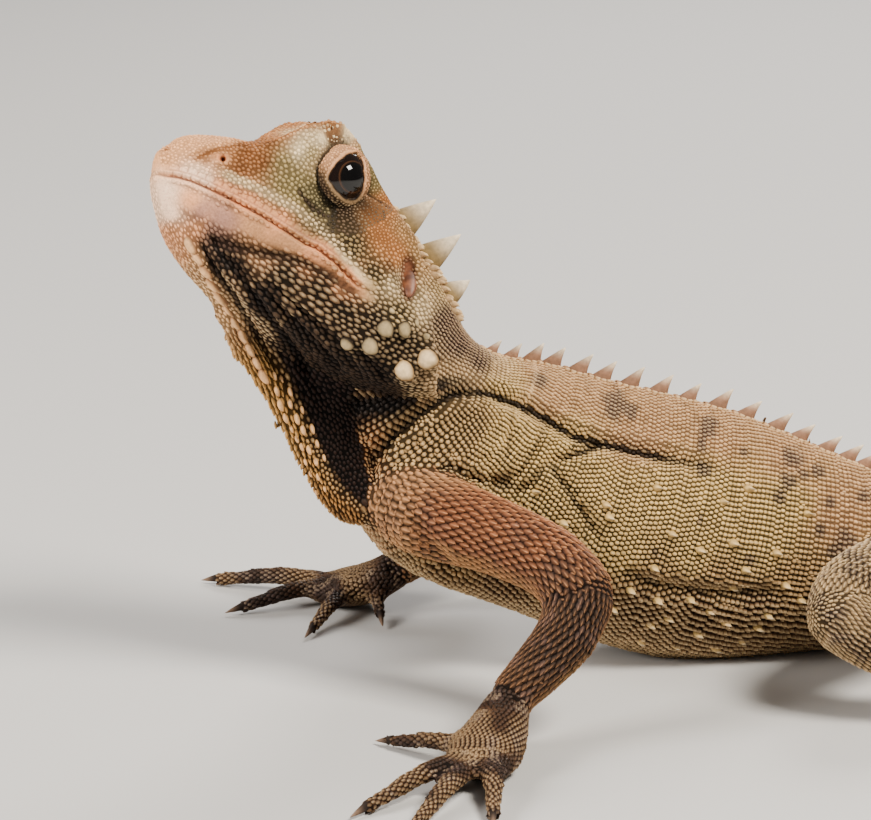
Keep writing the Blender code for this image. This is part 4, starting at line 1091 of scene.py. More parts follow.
# %% Smaller faces along the mouth
MOUTH_REACH, FINE_FACE = 13.0, 0.015
for _ in range(2):
    centres = face_centres()
    areas = read(skin.data.polygons, "area", 1)
    owners = parts_at(centres)
    gap, _ = along_line(MOUTH_LINE, photo_place(left_twins(centres, owners)))
    divide((gap > -MOUTH_REACH) & (gap < 4) & np.isin(owners, HEAD_PARTS) & (areas > FINE_FACE))
parts = parts_at(coordinates(skin))
joins = read(skin.data.edges, "vertices", 2, np.int32)
counts = np.bincount(joins.ravel(), minlength=len(parts)).astype(float)[:, None]
print("skin with a finer mouth:", len(skin.data.polygons), "faces")

# %% Press lines and spots into the skin
skin_points, skin_normals = coordinates(skin), normals_of(skin)
twins, twin_normals = left_twins(skin_points, parts, skin_normals)
places = photo_place(twins)
sight = unit(np.array(EYE_POINT) - twins)
facing = soft_step((twin_normals * sight).sum(1), 0.0, 0.25)
head_now = np.isin(parts, HEAD_PARTS)
throat_now = np.isin(parts, HEAD_SET)
trunk_now = np.isin(parts, TRUNK_PARTS)
arm_now = trunk_now | starts_with(parts, "upper")
moves = np.zeros(len(skin_points))


def press(line, width, depth, where, lip=0.0, one_sided=0.0, ends=0.08):
    """Sink the skin along a line of the photo. A lip rises beside it, on one side or both."""
    side, share = along_line(line, places)
    gap = np.abs(side) * PIXEL
    fade = soft_step(share, -0.001, ends) * (1 - soft_step(share, 1 - ends, 1.001)) * facing * where
    ridge = np.exp(-((gap / width - 1.7) / 0.8) ** 2)
    ridge = ridge * np.where(side * one_sided >= 0, 1.0, 0.15) if one_sided else ridge
    moves[:] += fade * (lip * ridge - depth * np.exp(-(gap / width) ** 2))


def dab(u, v, width, height, where, amount, turn=0.0):
    """Raise or sink an oval spot of the photo, with its half width and half height."""
    across, down = places[:, 0] - u, places[:, 1] - v
    c, s = math.cos(math.radians(turn)), math.sin(math.radians(turn))
    gap = ((across * c + down * s) / width) ** 2 + ((down * c - across * s) / height) ** 2
    moves[:] += amount * np.exp(-gap) * facing * where


press(MOUTH_LINE, 0.30, 0.42, head_now, lip=0.16)
moves -= 0.06 * lip_seams(places) * facing * head_now
press(JAW_HOLLOW, 0.95, 0.75, throat_now)
for number, line in enumerate(THROAT_GROOVES):
    press(line, 0.55, 0.55 if number < 3 else 0.3, throat_now, lip=0.15)
# The ridge from the snout over the eye, the hollow under it and the pale stripe's ridge
SNOUT_RIDGE = ((180, 160), (200, 149), (225, 143), (255, 138), (290, 135), (315, 124), (340, 118))
press(SNOUT_RIDGE, 0.5, -0.3, head_now)
press(((200, 158), (235, 152), (265, 148), (290, 148), (315, 138)), 0.9, 0.3, head_now)
press(((190, 165), (215, 175), (245, 186), (275, 203), (300, 222)), 0.7, -0.22, head_now)
# Smooth pads of the lower jaw, the nostril's ring and its opening, the hollow of the ear
dab(222, 214, 20, 14, head_now, 0.2, 30)
dab(270, 230, 18, 9, head_now, 0.3, 32)
dab(219, 159, 8.5, 7, head_now, 1.0)
dab(222.5, 159, 2.8, 3.2, head_now, -1.7)
dab(168, 146, 9, 5, head_now, -0.4)
dab(408.5, 278, 8.5, 25, head_now, -0.75)
# The bag under the eye
EYE_BAG = ((306, 196), (312, 207), (322, 215), (338, 220), (352, 219), (362, 212))
press(EYE_BAG, 0.42, 0.42, head_now, lip=0.12)
press(((300, 185), (303, 200), (312, 216), (330, 227), (350, 228)), 0.35, 0.18, head_now)

# %% The folds of the body
for name, (_, _, width, depth, lip, sided, ends, line) in FOLDS.items():
    press(line, width, depth, arm_now if name == "arm" else trunk_now, lip, sided, ends)
for angle in range(-60, 241, 25):
    way = Vector((math.cos(math.radians(angle)), math.sin(math.radians(angle))))
    reach = 34 + 12 * math.sin(angle * 0.9)
    line = tuple((PUCKER[0] + way.x * r, PUCKER[1] + way.y * r * 0.8) for r in (5, reach * 0.5, reach))
    press(line, 0.5, 0.4, trunk_now, lip=0.15)
dab(503, 482, 9, 8, trunk_now, -0.9)
for k in range(6):
    u = 425 + 16 * k
    press(((u, 405 + 3 * k), (u - 14, 425 + 4 * k), (u - 22, 447 + 5 * k)), 0.45, 0.16, trunk_now)
moves = neighbour_mean(moves[:, None])[:, 0] * 0.35 + moves * 0.65
skin_points = skin_points + skin_normals * moves[:, None]
set_coordinates(skin, skin_points)
print("deepest fold:", round(float(-moves.min()), 2), "mm")

# %% [markdown]
# The skin between the opening of the eye and the furrow round the orbit is laid over the
# eyeball as a soft roll, and the skin inside the opening is pushed back, behind the ball.

# %% Lay the lids over the eyeballs
LID_PROFILE = ((-2.0, -0.9), (-0.25, -0.7), (-0.06, -0.25), (0.0, 0.12), (0.1, 0.3), (0.3, 0.46), (0.6, 0.46),
               (0.82, 0.28), (0.96, 0.02), (1.04, 0.02), (1.15, 0.2))
on_right, away, radius, share = eye_shares(skin_points)
by_eye = share < 1.6
lid_height = EYE_RADIUS + np.interp(share, *zip(*LID_PROFILE))
new_radius = lid_height + (radius - lid_height) * soft_step(share, 1.04, 1.5)
away[by_eye] *= (new_radius / radius)[by_eye, None]
inside = away / HEAD_SCALE + np.array(EYE_LEFT)
inside[on_right, 1] *= -1
skin_points[by_eye] = many(HEAD, inside)[by_eye]
set_coordinates(skin, skin_points)
print("skin laid over each eye:", int(by_eye.sum() / 2), "points")

# %% [markdown]
# ## One scale of each kind
# Each kind of scale is modelled once: a flat outline is extruded upward in steps that
# narrow it, and the last step closes to a point or to a keel, the ridge along a scale's
# middle. It is about one unit long and wide, with its front towards -X, and thousands of
# copies of it are made at their own sizes later. The hidden underside is left out.

# %% Model the kinds of scale
def fin_steps(count, front, rear, thinning):
    """Steps for a tall spine: front and rear give its two edges at shares of the height."""
    steps, before = [], 0.0
    for t in np.linspace(0, 1, count + 1)[1:]:
        low, high = front(t), rear(t)
        middle = (low + high) / 2
        steps.append((1 / count, high - low, (1 - t) ** thinning, middle - before))
        before = middle
    return tuple(steps)


SCALE_KINDS = {
    # name: sides, then steps of height, length, width and how far the middle moves back
    "granule": (6, ((0.55, 0.82, 0.82, 0.0), (0.45, 0.0, 0.0, 0.0))),
    "keeled": (6, ((0.5, 0.86, 0.8, 0.03), (0.5, 0.62, 0.0, 0.16))),
    "pointed": (8, ((0.28, 0.94, 0.86, 0.03), (0.47, 0.7, 0.16, 0.17), (0.25, 0.42, 0.0, 0.2))),
    "boss": (14, ((0.3, 0.98, 0.98, 0.0), (0.27, 0.86, 0.86, 0.01), (0.22, 0.64, 0.62, 0.03),
                  (0.14, 0.34, 0.32, 0.05), (0.07, 0.0, 0.0, 0.05))),
    "fin": (12, fin_steps(8, lambda t: -0.5 + 0.94 * t ** 1.1, lambda t: 0.5 - 0.05 * math.sin(math.pi * t),
                          0.7)),
    "thorn": (12, fin_steps(8, lambda t: -0.5 + 0.66 * t ** 1.2, lambda t: 0.5 - 0.34 * t ** 1.5, 0.6)),
}


def model_scale(name, sides, steps):
    """Model one scale. Returns its points, triangles, and how high and how near the tip
    each point is."""
    choose()
    bpy.ops.mesh.primitive_circle_add(vertices=sides, radius=0.5, fill_type="NGON", location=(0, 0, 0),
                                      rotation=(0, 0, math.pi / 2))
    scale = bpy.context.object
    bpy.ops.object.transform_apply(location=False, rotation=True, scale=False)
    bpy.ops.object.mode_set(mode="EDIT")
    length, width, height, middle = 1.0, 1.0, 0.0, 0.0
    for rise, new_length, new_width, shift in steps:
        bpy.ops.mesh.extrude_region_move(TRANSFORM_OT_translate={"value": (shift, 0, rise)})
        height += rise
        middle += shift
        shrink = (max(new_length, 0.001) / length, max(new_width, 0.001) / width, 1)
        bpy.ops.transform.resize(value=shrink, center_override=(middle, 0, height))
        length, width = max(new_length, 0.001), max(new_width, 0.001)
    bpy.ops.mesh.select_all(action="SELECT")
    bpy.ops.mesh.remove_doubles(threshold=0.01)
    bpy.ops.mesh.quads_convert_to_tris()
    bpy.ops.object.mode_set(mode="OBJECT")
    bm = bmesh.new()
    bm.from_mesh(scale.data)
    bmesh.ops.recalc_face_normals(bm, faces=bm.faces)
    underside = [face for face in bm.faces if face.normal.z < -0.9]
    bmesh.ops.delete(bm, geom=underside, context="FACES")
    bmesh.ops.triangulate(bm, faces=bm.faces)
    points = np.array([vert.co for vert in bm.verts])
    triangles = np.array([[vert.index for vert in face.verts] for face in bm.faces])
    bm.free()
    bpy.data.objects.remove(scale)
    rise = points[:, 2] / points[:, 2].max()
    if name == "boss":
        angle = np.arctan2(points[:, 1], points[:, 0])
        points[:, :2] *= (1 + 0.06 * np.sin(3 * angle + 0.7) + 0.03 * np.sin(5 * angle))[:, None]
        tip = soft_step(rise, 0.2, 0.9)
    elif name in ("keeled", "pointed"):
        tip = soft_step(rise, 0.62, 1.0) * (0.4 + 0.6 * soft_step(points[:, 0], -0.1, 0.4))
    else:
        tip = soft_step(rise, 0.15, 0.75) if name == "thorn" else soft_step(rise, 0.45, 1.0)
    print(name, "scale:", len(points), "points,", len(triangles), "triangles")
    return points, triangles, rise, tip


KINDS = {name: model_scale(name, sides, steps) for name, (sides, steps) in SCALE_KINDS.items()}

# %% [markdown]
# ## Rows of scales
# On the body, limbs and tail the scales sit in rings, each ring shifted by half a scale
# against the one before it, like bricks or roof tiles. A fan of rays from the middle line
# to the skin gives the ring's shape, and steps of one scale's width along that shape give
# the places.

# %% A middle line for each part of the body
ELBOW = 4
LEG_RIGHT = mirrored(LEG_LEFT, (1,))
LIMB_LINES = (
    ("upper_arm_left", ARM_LEFT, 0, 5), ("forearm_left", ARM_LEFT, 4, 8),
    ("upper_arm_right", ARM_RIGHT, 0, 5), ("forearm_right", ARM_RIGHT, 4, 8),
    ("thigh_left", LEG_LEFT, 0, 5), ("shin_left", LEG_LEFT, 4, 8),
    ("thigh_right", LEG_RIGHT, 0, 5), ("shin_right", LEG_RIGHT, 4, 8),
)
END_LINES = (("hand_left", PALM_LEFT), ("hand_right", PALM_RIGHT), ("foot_left", SOLE_LEFT),
             ("foot_right", mirrored(SOLE_LEFT, (1,))))
HEAD_LINE = Route([on_head(-4, 0, 3), on_head(46, 0, 0)])


def hinge_of(rows):
    """The axis that an elbow or knee bends about."""
    rows = np.array(rows)[:, :3]
    return unit(np.cross(rows[ELBOW] - rows[ELBOW - 1], rows[ELBOW + 1] - rows[ELBOW]))


lines = {name: [HEAD_LINE] for name in ("head", "jaw", "dewlap")}
lines.update({FLESH[number]: [spine] for number in TRUNK_PARTS})
for name, rows, first, last in LIMB_LINES:
    lines[name] = [Route(np.array(rows)[first:last], hinge_of(rows))]
for name, rows in END_LINES:
    lines[name] = [Route(rows)] + [Route(digit) for digit in DIGITS[name]]
print("middle lines:", sum(len(group) for group in lines.values()))

# %% [markdown]
# ## A map for the coat
# A painted map of the coat needs a place on it for each scale. The skin is unrolled for
# that: how far along its middle line a scale sits gives one way across the map, and the
# angle round the line the other. Each part of the body has its own patch of the map.

# %% Unroll a place on the skin
MAP_PATCHES = {"head": (0.01, 0.01, 0.98, 0.6), "jaw": (0.01, 0.63, 0.98, 0.16),
               "dewlap": (0.01, 0.81, 0.98, 0.18), "neck": (0.01, 0.01, 0.98, 0.98)}
for number, (name, *_) in enumerate(LIMB_LINES):
    MAP_PATCHES[name] = (number % 4 * 0.25 + 0.01, number // 4 * 0.25 + 0.01, 0.23, 0.23)
for number, (name, _) in enumerate(END_LINES):
    MAP_PATCHES[name] = (number * 0.25 + 0.01, 0.51, 0.23, 0.48)
SPAN = {"neck": (0, NECK_END), "torso": (NECK_END, TORSO_END), "tail": (TORSO_END, spine.length)}
FAN_SPAN = (0.0, 50.0, -30.0, -4.0)


def unrolled(points, parts):
    """The place on the map for each point of the skin."""
    places = np.zeros((len(points), 2))
    for number, name in enumerate(FLESH):
        chosen = np.where(parts == number)[0]
        if not len(chosen):
            continue
        group = lines[name]
        own = points[chosen]
        stations = np.stack([line.nearest(own) for line in group])
        gaps, turns = [], []
        for line, s in zip(group, stations):
            middle, _, side, up = line.frames(s)
            away = own - middle
            gaps.append(norm(away, axis=1) - line.sizes(s) if len(group) > 1
                        else np.zeros(len(own)))
            turns.append(np.arctan2((away * up).sum(1), (away * side).sum(1)) % math.tau)
        best = np.argmin(np.array(gaps), axis=0)
        pick = (best, np.arange(len(own)))
        span = next((value for key, value in SPAN.items() if name.startswith(key)), None)
        low, high = span or (0, max(line.length for line in group))
        across, along = np.array(turns)[pick] / math.tau, (stations[pick] - low) / (high - low)
        if name == "dewlap":
            inside = many(HEAD_BACK, own)
            p0, p1, h0, h1 = FAN_SPAN
            along = ((inside[:, 0] - p0) / (p1 - p0) + (inside[:, 1] > 0)) / 2
            across = (inside[:, 2] - h0) / (h1 - h0)
        u, v, width, height = MAP_PATCHES.get(name, (0.01, 0.01, 0.98, 0.98))
        column = (best + np.clip(along, 0, 0.98)) / len(group)
        places[chosen] = np.stack([u + column * width, v + np.clip(across, 0, 1) * height], axis=1)
    return places


# %% A coat of scales, and rings of them round a line
def flattened(ways, normals):
    """Turn each way so that it lies in the skin."""
    return unit(ways - (ways * normals).sum(1)[:, None] * normals)


class Coat:
    """Scales in arrays: place, way out, way back, length, width, height, kind and, for
    those that take no paint, their own colours of base and tip."""

    def __init__(self):
        self.batches = []

    def add(self, name, kind, place, normal, back, length, width, height, ink=None, tip=None):
        place, normal, back = (np.atleast_2d(np.array(value)) for value in (place, normal, back))
        count = len(place)
        sizes = [np.broadcast_to(np.asarray(value, float), count) for value in (length, width, height)]
        own = [np.tile(INK[name] if name else np.full(3, np.nan), (count, 1)) for name in (ink, tip or ink)]
        self.batches.append(dict(place=place, normal=normal, back=back, length=sizes[0], width=sizes[1],
                                 height=sizes[2], kind=np.broadcast_to(kind, count), ink=own[0], tip=own[1]))
        if count > 30:
            print(name, "scales:", count)

    def all(self):
        return {key: np.concatenate([batch[key] for batch in self.batches]) for key in self.batches[0]}


skin_tree = BVHTree.FromObject(skin, bpy.context.evaluated_depsgraph_get())
face_parts = parts[[face.vertices[0] for face in skin.data.polygons]]
coat = Coat()


def lay_rings(route, start, end, step, width, owners, rays):
    """Lay rings of scales round a line. Gives places, ways out, ways back, widths and stations."""
    s, row = start, 0
    found = []
    fan = np.linspace(0, math.tau, rays, endpoint=False)
    while s < end:
        middle, along, side, up = route.frames(s)
        ways = np.cos(fan)[:, None] * side + np.sin(fan)[:, None] * up
        hits = [skin_tree.ray_cast(Vector(middle), Vector(way), 40.0) for way in ways]
        reach = np.array([hit[0] is not None and face_parts[hit[2]] in owners for hit in hits])
        places = np.array([hit[0] if hit[0] is not None else middle for hit in hits])
        facing = np.array([hit[1] if hit[1] is not None else way for hit, way in zip(hits, ways)])
        spans = norm(np.roll(places, -1, axis=0) - places, axis=1)
        near = reach & np.roll(reach, -1) & (spans < 6 * np.median(spans))
        sizes = width(s, fan)
        counted = running(spans / sizes)
        total = max(3, round(counted[-1]))
        wanted = (np.arange(total) + (row % 2) * 0.5) * counted[-1] / total
        low = np.clip(np.searchsorted(counted, wanted, side="right") - 1, 0, rays - 1)
        share = ((wanted - counted[low]) / np.maximum(counted[low + 1] - counted[low], 1e-6))[:, None]
        high = (low + 1) % rays
        kept = near[low]
        count = int(kept.sum())
        found.append(((places[low] * (1 - share) + places[high] * share)[kept],
                      unit(facing[low] * (1 - share) + facing[high] * share)[kept],
                      np.tile(along, (count, 1)), sizes[low][kept], np.full(count, s)))
        s += step(s)
        row += 1
    return [np.concatenate(values) for values in zip(*found)]


# %% [markdown]
# The scales of the flank are small and even, about 0.6 mm. Those of the belly are wider
# and more strongly keeled, and the tail's grow longer towards its tip.

# %% Rings round the neck, body and tail
RING_STEPS = ((0, 0.48), (22, 0.56), (60, 0.60), (104, 0.72), (200, 0.9), (347, 0.7))
RING_WIDTHS = ((0, 0.54), (22, 0.60), (60, 0.64), (104, 0.80), (200, 0.85), (347, 0.5))


def body_step(s):
    return np.interp(s, *zip(*RING_STEPS))


def body_width(s, turn):
    low = soft_step(-np.sin(turn), 0.05, 0.7)
    return np.interp(s, *zip(*RING_WIDTHS)) * (1 + 0.5 * low)


for name, start, end, rays in (("neck", 0.3, NECK_END, 96), ("torso", NECK_END, TORSO_END, 96),
                               ("tail", TORSO_END, spine.length - 1.0, 40)):
    place, normal, ways, widths, stations = lay_rings(spine, start, end, body_step, body_width,
                                                      set(TRUNK_PARTS), rays)
    low = soft_step(-normal[:, 2], -0.1, 0.5)
    uneven = 1 + 0.07 * chance.standard_normal((3, len(place)))
    coat.add(name, "keeled", place, normal, ways, body_step(stations) * (1.2 + 0.4 * low) * uneven[0],
             widths * 0.98 * uneven[1], (0.26 + 0.2 * low) * (widths / 0.6) ** 0.5 * uneven[2])

# %% Rings round the arms, legs, palms, soles, fingers and toes
for name, rows, first, last in LIMB_LINES:
    route = lines[name][0]
    pitch = (1.0 if "arm" in name else 0.84) * (0.8 if first else 1.0)
    place, normal, ways, widths, _ = lay_rings(route, 0.2, route.length, lambda s: pitch * 0.9,
                                               lambda s, turn: np.full(len(turn), pitch),
                                               set(number_of(name)), 72)
    coat.add(name, "pointed", place, normal, ways, pitch * 1.55, widths * 1.05, 0.42 * pitch)
DIGIT_STEP, DIGIT_WIDTH = 0.56, 0.62
for name, _ in END_LINES:
    for number, route in enumerate(lines[name]):
        extra = 0.0 if number else 1.5
        place, normal, ways, widths, _ = lay_rings(route, 0.6 if number else 0.0, route.length + extra,
                                                   lambda s: DIGIT_STEP,
                                                   lambda s, turn: np.full(len(turn), DIGIT_WIDTH),
                                                   set(number_of(name)), 24 if number else 48)
        coat.add(name, "keeled", place, normal, ways, DIGIT_STEP * 1.5, widths * 1.05, 0.26)

# %% [markdown]
# ## Large scales
# Some scales are much larger than their neighbours: scattered pale ones on the flank, a
# row under the chin, narrow ones on the fan and rounded ones at the corner of the jaw.
# Each is laid where the line of sight through its place in the photo meets the skin.

# %% The large scales of the flank, the throat and the jaw
def spaced(line, step):
    """Places along a line of the photo, at a step in pixels, with the line's way there."""
    line = np.array(line, float)
    before = running(norm(np.diff(line, axis=0), axis=1))
    at = np.arange(step / 2, before[-1], step)
    middle, ahead, behind = (np.stack([np.interp(at + shift, before, line[:, k]) for k in (0, 1)], axis=1)
                             for shift in (0, 3, -3))
    return middle, unit(ahead - behind)


def lay_from_photo(name, kind, places, ways, length, width, height, owners, both=True, ink=None, tip=None):
    """Lay scales on the skin under places of the photo, and on the other side as well."""
    rows = []
    for number, (place, way) in enumerate(zip(places, ways)):
        hit = skin_tree.ray_cast(EYE_POINT, sight_line(*place))
        if hit[0] is None or face_parts[hit[2]] not in owners:
            continue
        back = way[0] * camera_right + way[1] * camera_down
        rows.append((number, np.array(hit[0]), np.array(hit[1]), back))
    mirror = HEAD_MIRROR if owners[0] in HEAD_SET else MIRROR
    turned = np.array(mirror)[:3, :3].T
    numbers, spots, normals, backs = (np.array(column) for column in zip(*rows))
    if both:
        spots = np.concatenate([spots, many(mirror, spots)])
        normals = np.concatenate([normals, normals @ turned])
        backs = np.concatenate([backs, backs @ turned])
        numbers = np.concatenate([numbers, numbers])
    sizes = [np.broadcast_to(np.asarray(value, float), len(places))[numbers]
             for value in (length, width, height)]
    coat.add(name, kind, spots, normals, backs, *sizes, ink, tip)
    return spots.tolist()


camera_right, camera_down = (np.array(camera.matrix_world.to_3x3() @ Vector(way))
                             for way in ((1, 0, 0), (0, -1, 0)))
LARGE_SCALES = (
    (657, 488), (748, 489), (723, 502), (609, 517), (672, 534), (733, 543), (700, 550), (776, 553),
    (807, 514), (654, 568), (657, 600), (709, 611), (732, 586), (697, 633), (757, 627), (767, 615),
    (715, 647), (650, 624), (612, 608), (563, 523), (606, 505), (690, 600), (630, 590), (640, 640),
    (675, 645), (740, 640), (800, 600), (785, 585), (725, 622), (668, 618), (745, 570), (535, 492),
)
GULAR_LINE = ((187, 239), (191, 247), (196, 256), (203, 267), (211, 281), (220, 296), (229, 312), (238, 328),
              (247, 345), (256, 362), (266, 381))
# Pale, narrow scales of the throat fan: place in the photo, length in pixels
FAN_SCALES = ((274, 376, 10), (281, 379, 9), (277, 391, 12), (290, 392, 11), (281, 405, 14), (290, 404, 11),
              (302, 410, 9), (286, 418, 12), (297, 419, 13), (292, 429, 9), (303, 430, 12), (312, 429, 11),
              (297, 439, 9), (302, 447, 10), (309, 450, 11), (317, 444, 9), (316, 462, 10), (324, 458, 8),
              (306, 462, 9), (318, 477, 9), (311, 474, 8), (325, 489, 8), (317, 492, 7))
laid_places = []
places = np.array(LARGE_SCALES, float)
ways = np.tile((0.97, 0.25), (len(places), 1))
size = 0.95 + 0.3 * chance.random(len(places))
lay_from_photo("large scales of the flank", "pointed", places, ways, size * 1.1, size * 0.95, size * 0.8,
               number_of("torso", "neck"), ink="flank", tip="ivory")
places, ways = spaced(GULAR_LINE, 15.0)
size = 1 + 0.1 * chance.standard_normal(len(places))
laid_places += lay_from_photo("row under the chin", "boss", places, ways, 2.05 * size, 0.9 * size,
                              0.65 * size, HEAD_SET, both=False, ink="jaw_tan", tip="gular")
places = np.array(FAN_SCALES, float)[:, :2]
ways = np.tile((0.28, 0.96), (len(places), 1))
size = np.array(FAN_SCALES, float)[:, 2] * PIXEL
laid_places += lay_from_photo("pale scales of the fan", "boss", places, ways, size, size * 0.45,
                              size * 0.4, HEAD_SET, ink="fan", tip="gular")
# Place in the photo, radius, how much longer than wide and how far turned, in degrees
BOSSES = ((385.6, 328.8, 8.6, 1.1, 70), (404.5, 329.5, 7.8, 1.3, 85), (347, 344, 7.2, 1.05, 30),
          (370.2, 346.3, 8.6, 1.15, 60), (404.5, 371, 9.8, 1.2, 60), (427.7, 359.6, 10.2, 1.05, 30),
          (416.5, 323, 4.0, 1.3, 80), (426.3, 336.5, 4.0, 1.0, 0), (392, 311, 3.4, 1.3, 40))
for name, chosen, ink, tip in (("rounded scales of the jaw", (0, 1, 2, 3, 6, 7, 8), "throat", "boss"),
                               ("two tall scales of the jaw", (4, 5), "flank_low", "pale")):
    bosses = np.array([BOSSES[number] for number in chosen], float)
    size, longer = bosses[:, 2] * PIXEL, bosses[:, 3] ** 0.5
    turns = np.radians(bosses[:, 4])
    ways = np.stack([np.cos(turns), np.sin(turns)], axis=1)
    height = size * (0.62 if tip == "boss" else 0.85)
    laid_places += lay_from_photo(name, "boss", bosses[:, :2], ways, size * 2.0 * longer, size * 2.0 / longer,
                                  height, HEAD_SET + number_of("neck"), ink=ink, tip=tip)

# %% [markdown]
# ## Fill what the rings leave
# Rings end where one part of the body grows from another, and the head's scales don't
# run in rings at all. These places are filled like a mosaic: random places on the skin
# are tried one by one, and one stays if no scale is too near. Then the new ones push
# each other apart a little, which evens them out.

# %% Sizes of the granules and the way that they run, at places in the photo
GRAINS = {
    # spacing in mm, then places in the photo
    0.34: ((330, 158), (345, 147), (324, 190)),
    0.36: ((180, 142), (215, 140), (345, 205), (368, 170), (385, 230), (380, 200)), 0.38: ((180, 232),),
    0.4: ((200, 168), (190, 262), (215, 310)), 0.42: ((235, 148), (395, 260)),
    0.45: ((340, 120), (310, 160), (415, 290)), 0.46: ((240, 350), (330, 525)),
    0.48: ((255, 155), (300, 130), (320, 500)),
    0.5: (
        (285, 135), (300, 205), (300, 180), (315, 225), (345, 240), (375, 280), (380, 300), (385, 275),
        (218, 240), (345, 450), (335, 400)),
    0.55: ((280, 165), (310, 262), (240, 265)), 0.56: ((385, 315), (285, 440)),
    0.6: ((345, 318), (300, 330), (260, 300), (262, 390)),
    0.62: ((275, 268), (395, 345), (350, 360), (300, 380)), 0.74: ((292, 281),), 0.84: ((322, 295),),
}
FLOWS = (
    # degrees down from a line to the right, how much longer than wide, then the place
    (20, 1.2, 215, 150), (55, 1.25, 260, 165), (60, 1.2, 300, 180), (25, 1.2, 330, 228), (38, 1.3, 360, 262),
    (60, 1.0, 385, 220), (38, 1.75, 285, 275), (32, 1.9, 325, 298), (34, 1.7, 365, 325), (48, 1.7, 265, 290),
    (55, 1.6, 235, 262), (58, 1.5, 300, 345), (45, 1.5, 350, 370), (70, 1.6, 275, 400), (68, 1.2, 310, 480),
    (66, 1.9, 178, 238), (60, 1.8, 195, 270), (60, 1.7, 225, 325), (25, 1.3, 400, 350), (60, 1.0, 345, 125),
    (35, 1.4, 400, 290),
)
GRAIN_SIZES = np.array([size for size, places in GRAINS.items() for _ in places])
GRAIN_PLACES = np.array([place for places in GRAINS.values() for place in places], float)
FLOW_WAYS = np.array([[math.cos(math.radians(flow[0])), math.sin(math.radians(flow[0])), flow[1]]
                      for flow in FLOWS])
FLOW_PLACES = np.array([flow[2:] for flow in FLOWS], float)
FILL_SPACING = {"torso": 0.5, "neck": 0.5, "tail": 0.7, "upper": 0.8, "forearm": 0.65, "thigh": 0.6,
                "shin": 0.6, "hand": 0.58, "foot": 0.58, "head": 0.6, "jaw": 0.6, "dewlap": 0.6}


def mosaic_plan(points, owners):
    """For each point: the spacing, the way that the scales run and how long they are."""
    spacing = by_part(FILL_SPACING)[owners].astype(float)
    ways = spine.frames(spine.nearest(points))[1].copy()
    stretch = np.ones(len(points))
    chosen = np.isin(owners, HEAD_SET)
    own = points[chosen]
    places = photo_place(left_twins(own, owners[chosen]))
    spacing[chosen] = nearness(places, GRAIN_PLACES, GRAIN_BLUR) @ GRAIN_SIZES
    flow = nearness(places, FLOW_PLACES, FLOW_BLUR) @ FLOW_WAYS
    way = flow[:, :1] * camera_right + flow[:, 1:2] * camera_down
    right = many(HEAD_BACK, own)[:, 1] > 0
    way[right] = way[right] @ np.array(HEAD_MIRROR)[:3, :3].T
    ways[chosen], stretch[chosen] = unit(way), flow[:, 2]
    return spacing, ways, stretch


# %% Try random places, and keep those that are free
FILL_TRIES = 280000
CELL = 1.6


def tree_of(points):
    """A search tree of points."""
    tree = KDTree(len(points))
    for index, point in enumerate(points):
        tree.insert(point, index)
    tree.balance()
    return tree


skin.data.calc_loop_triangles()
corners = read(skin.data.loop_triangles, "vertices", 3, np.int32)
skin_points = coordinates(skin)
a, b, c = (skin_points[corners[:, k]] for k in range(3))
areas = norm(np.cross(b - a, c - a), axis=1) / 2
ring_places = coat.all()["place"]
ring_tree = tree_of(ring_places)
open_skin = np.array([ring_tree.find(point)[2] > 0.5 for point in (a + b + c) / 3])
odds = areas * np.where(np.isin(parts[corners[:, 0]], HEAD_SET), 1.0, np.where(open_skin, 2.5, 0.05))
odds *= np.where(np.isin(parts[corners[:, 0]], HEAD_PARTS), 1.6, 1.0)
picked = chance.choice(len(corners), FILL_TRIES, p=odds / odds.sum())
r1, r2 = np.sqrt(chance.random(FILL_TRIES)), chance.random(FILL_TRIES)
tries = (a[picked] * (1 - r1)[:, None] + b[picked] * (r1 * (1 - r2))[:, None]
         + c[picked] * (r1 * r2)[:, None])
try_parts = parts[corners[picked, 0]]
rough = smoothness(tries, try_parts) < 0.5
tries, try_parts = tries[rough], try_parts[rough]
spacing, ways, stretch = mosaic_plan(tries, try_parts)
spacing *= np.clip(1 + 0.1 * chance.standard_normal(len(spacing)), 0.8, 1.2)
squash = 1 - 1 / stretch ** 2
grid = {}
for point in ring_places.tolist() + laid_places:
    grid.setdefault(tuple(int(x // CELL) for x in point), []).append(tuple(point))


def is_free(point, cell, least, way, squashed):
    """Whether no scale is nearer than the least distance, which counts less along the way."""
    x, y, z = point
    for i in (-1, 0, 1):
        for j in (-1, 0, 1):
            for k in (-1, 0, 1):
                for ox, oy, oz in grid.get((cell[0] + i, cell[1] + j, cell[2] + k), ()):
                    dx, dy, dz = x - ox, y - oy, z - oz
                    along = dx * way[0] + dy * way[1] + dz * way[2]
                    if dx * dx + dy * dy + dz * dz - squashed * along * along < least * least:
                        return False
    return True


kept = []
rows = zip(tries.tolist(), (tries // CELL).astype(int).tolist(), (spacing * 0.86).tolist(), ways.tolist(),
           squash.tolist())
for index, (point, cell, least, way, squashed) in enumerate(rows):
    if is_free(point, cell, least, way, squashed):
        grid.setdefault(tuple(cell), []).append(tuple(point))
        kept.append(index)
print("mosaic scales:", len(kept))

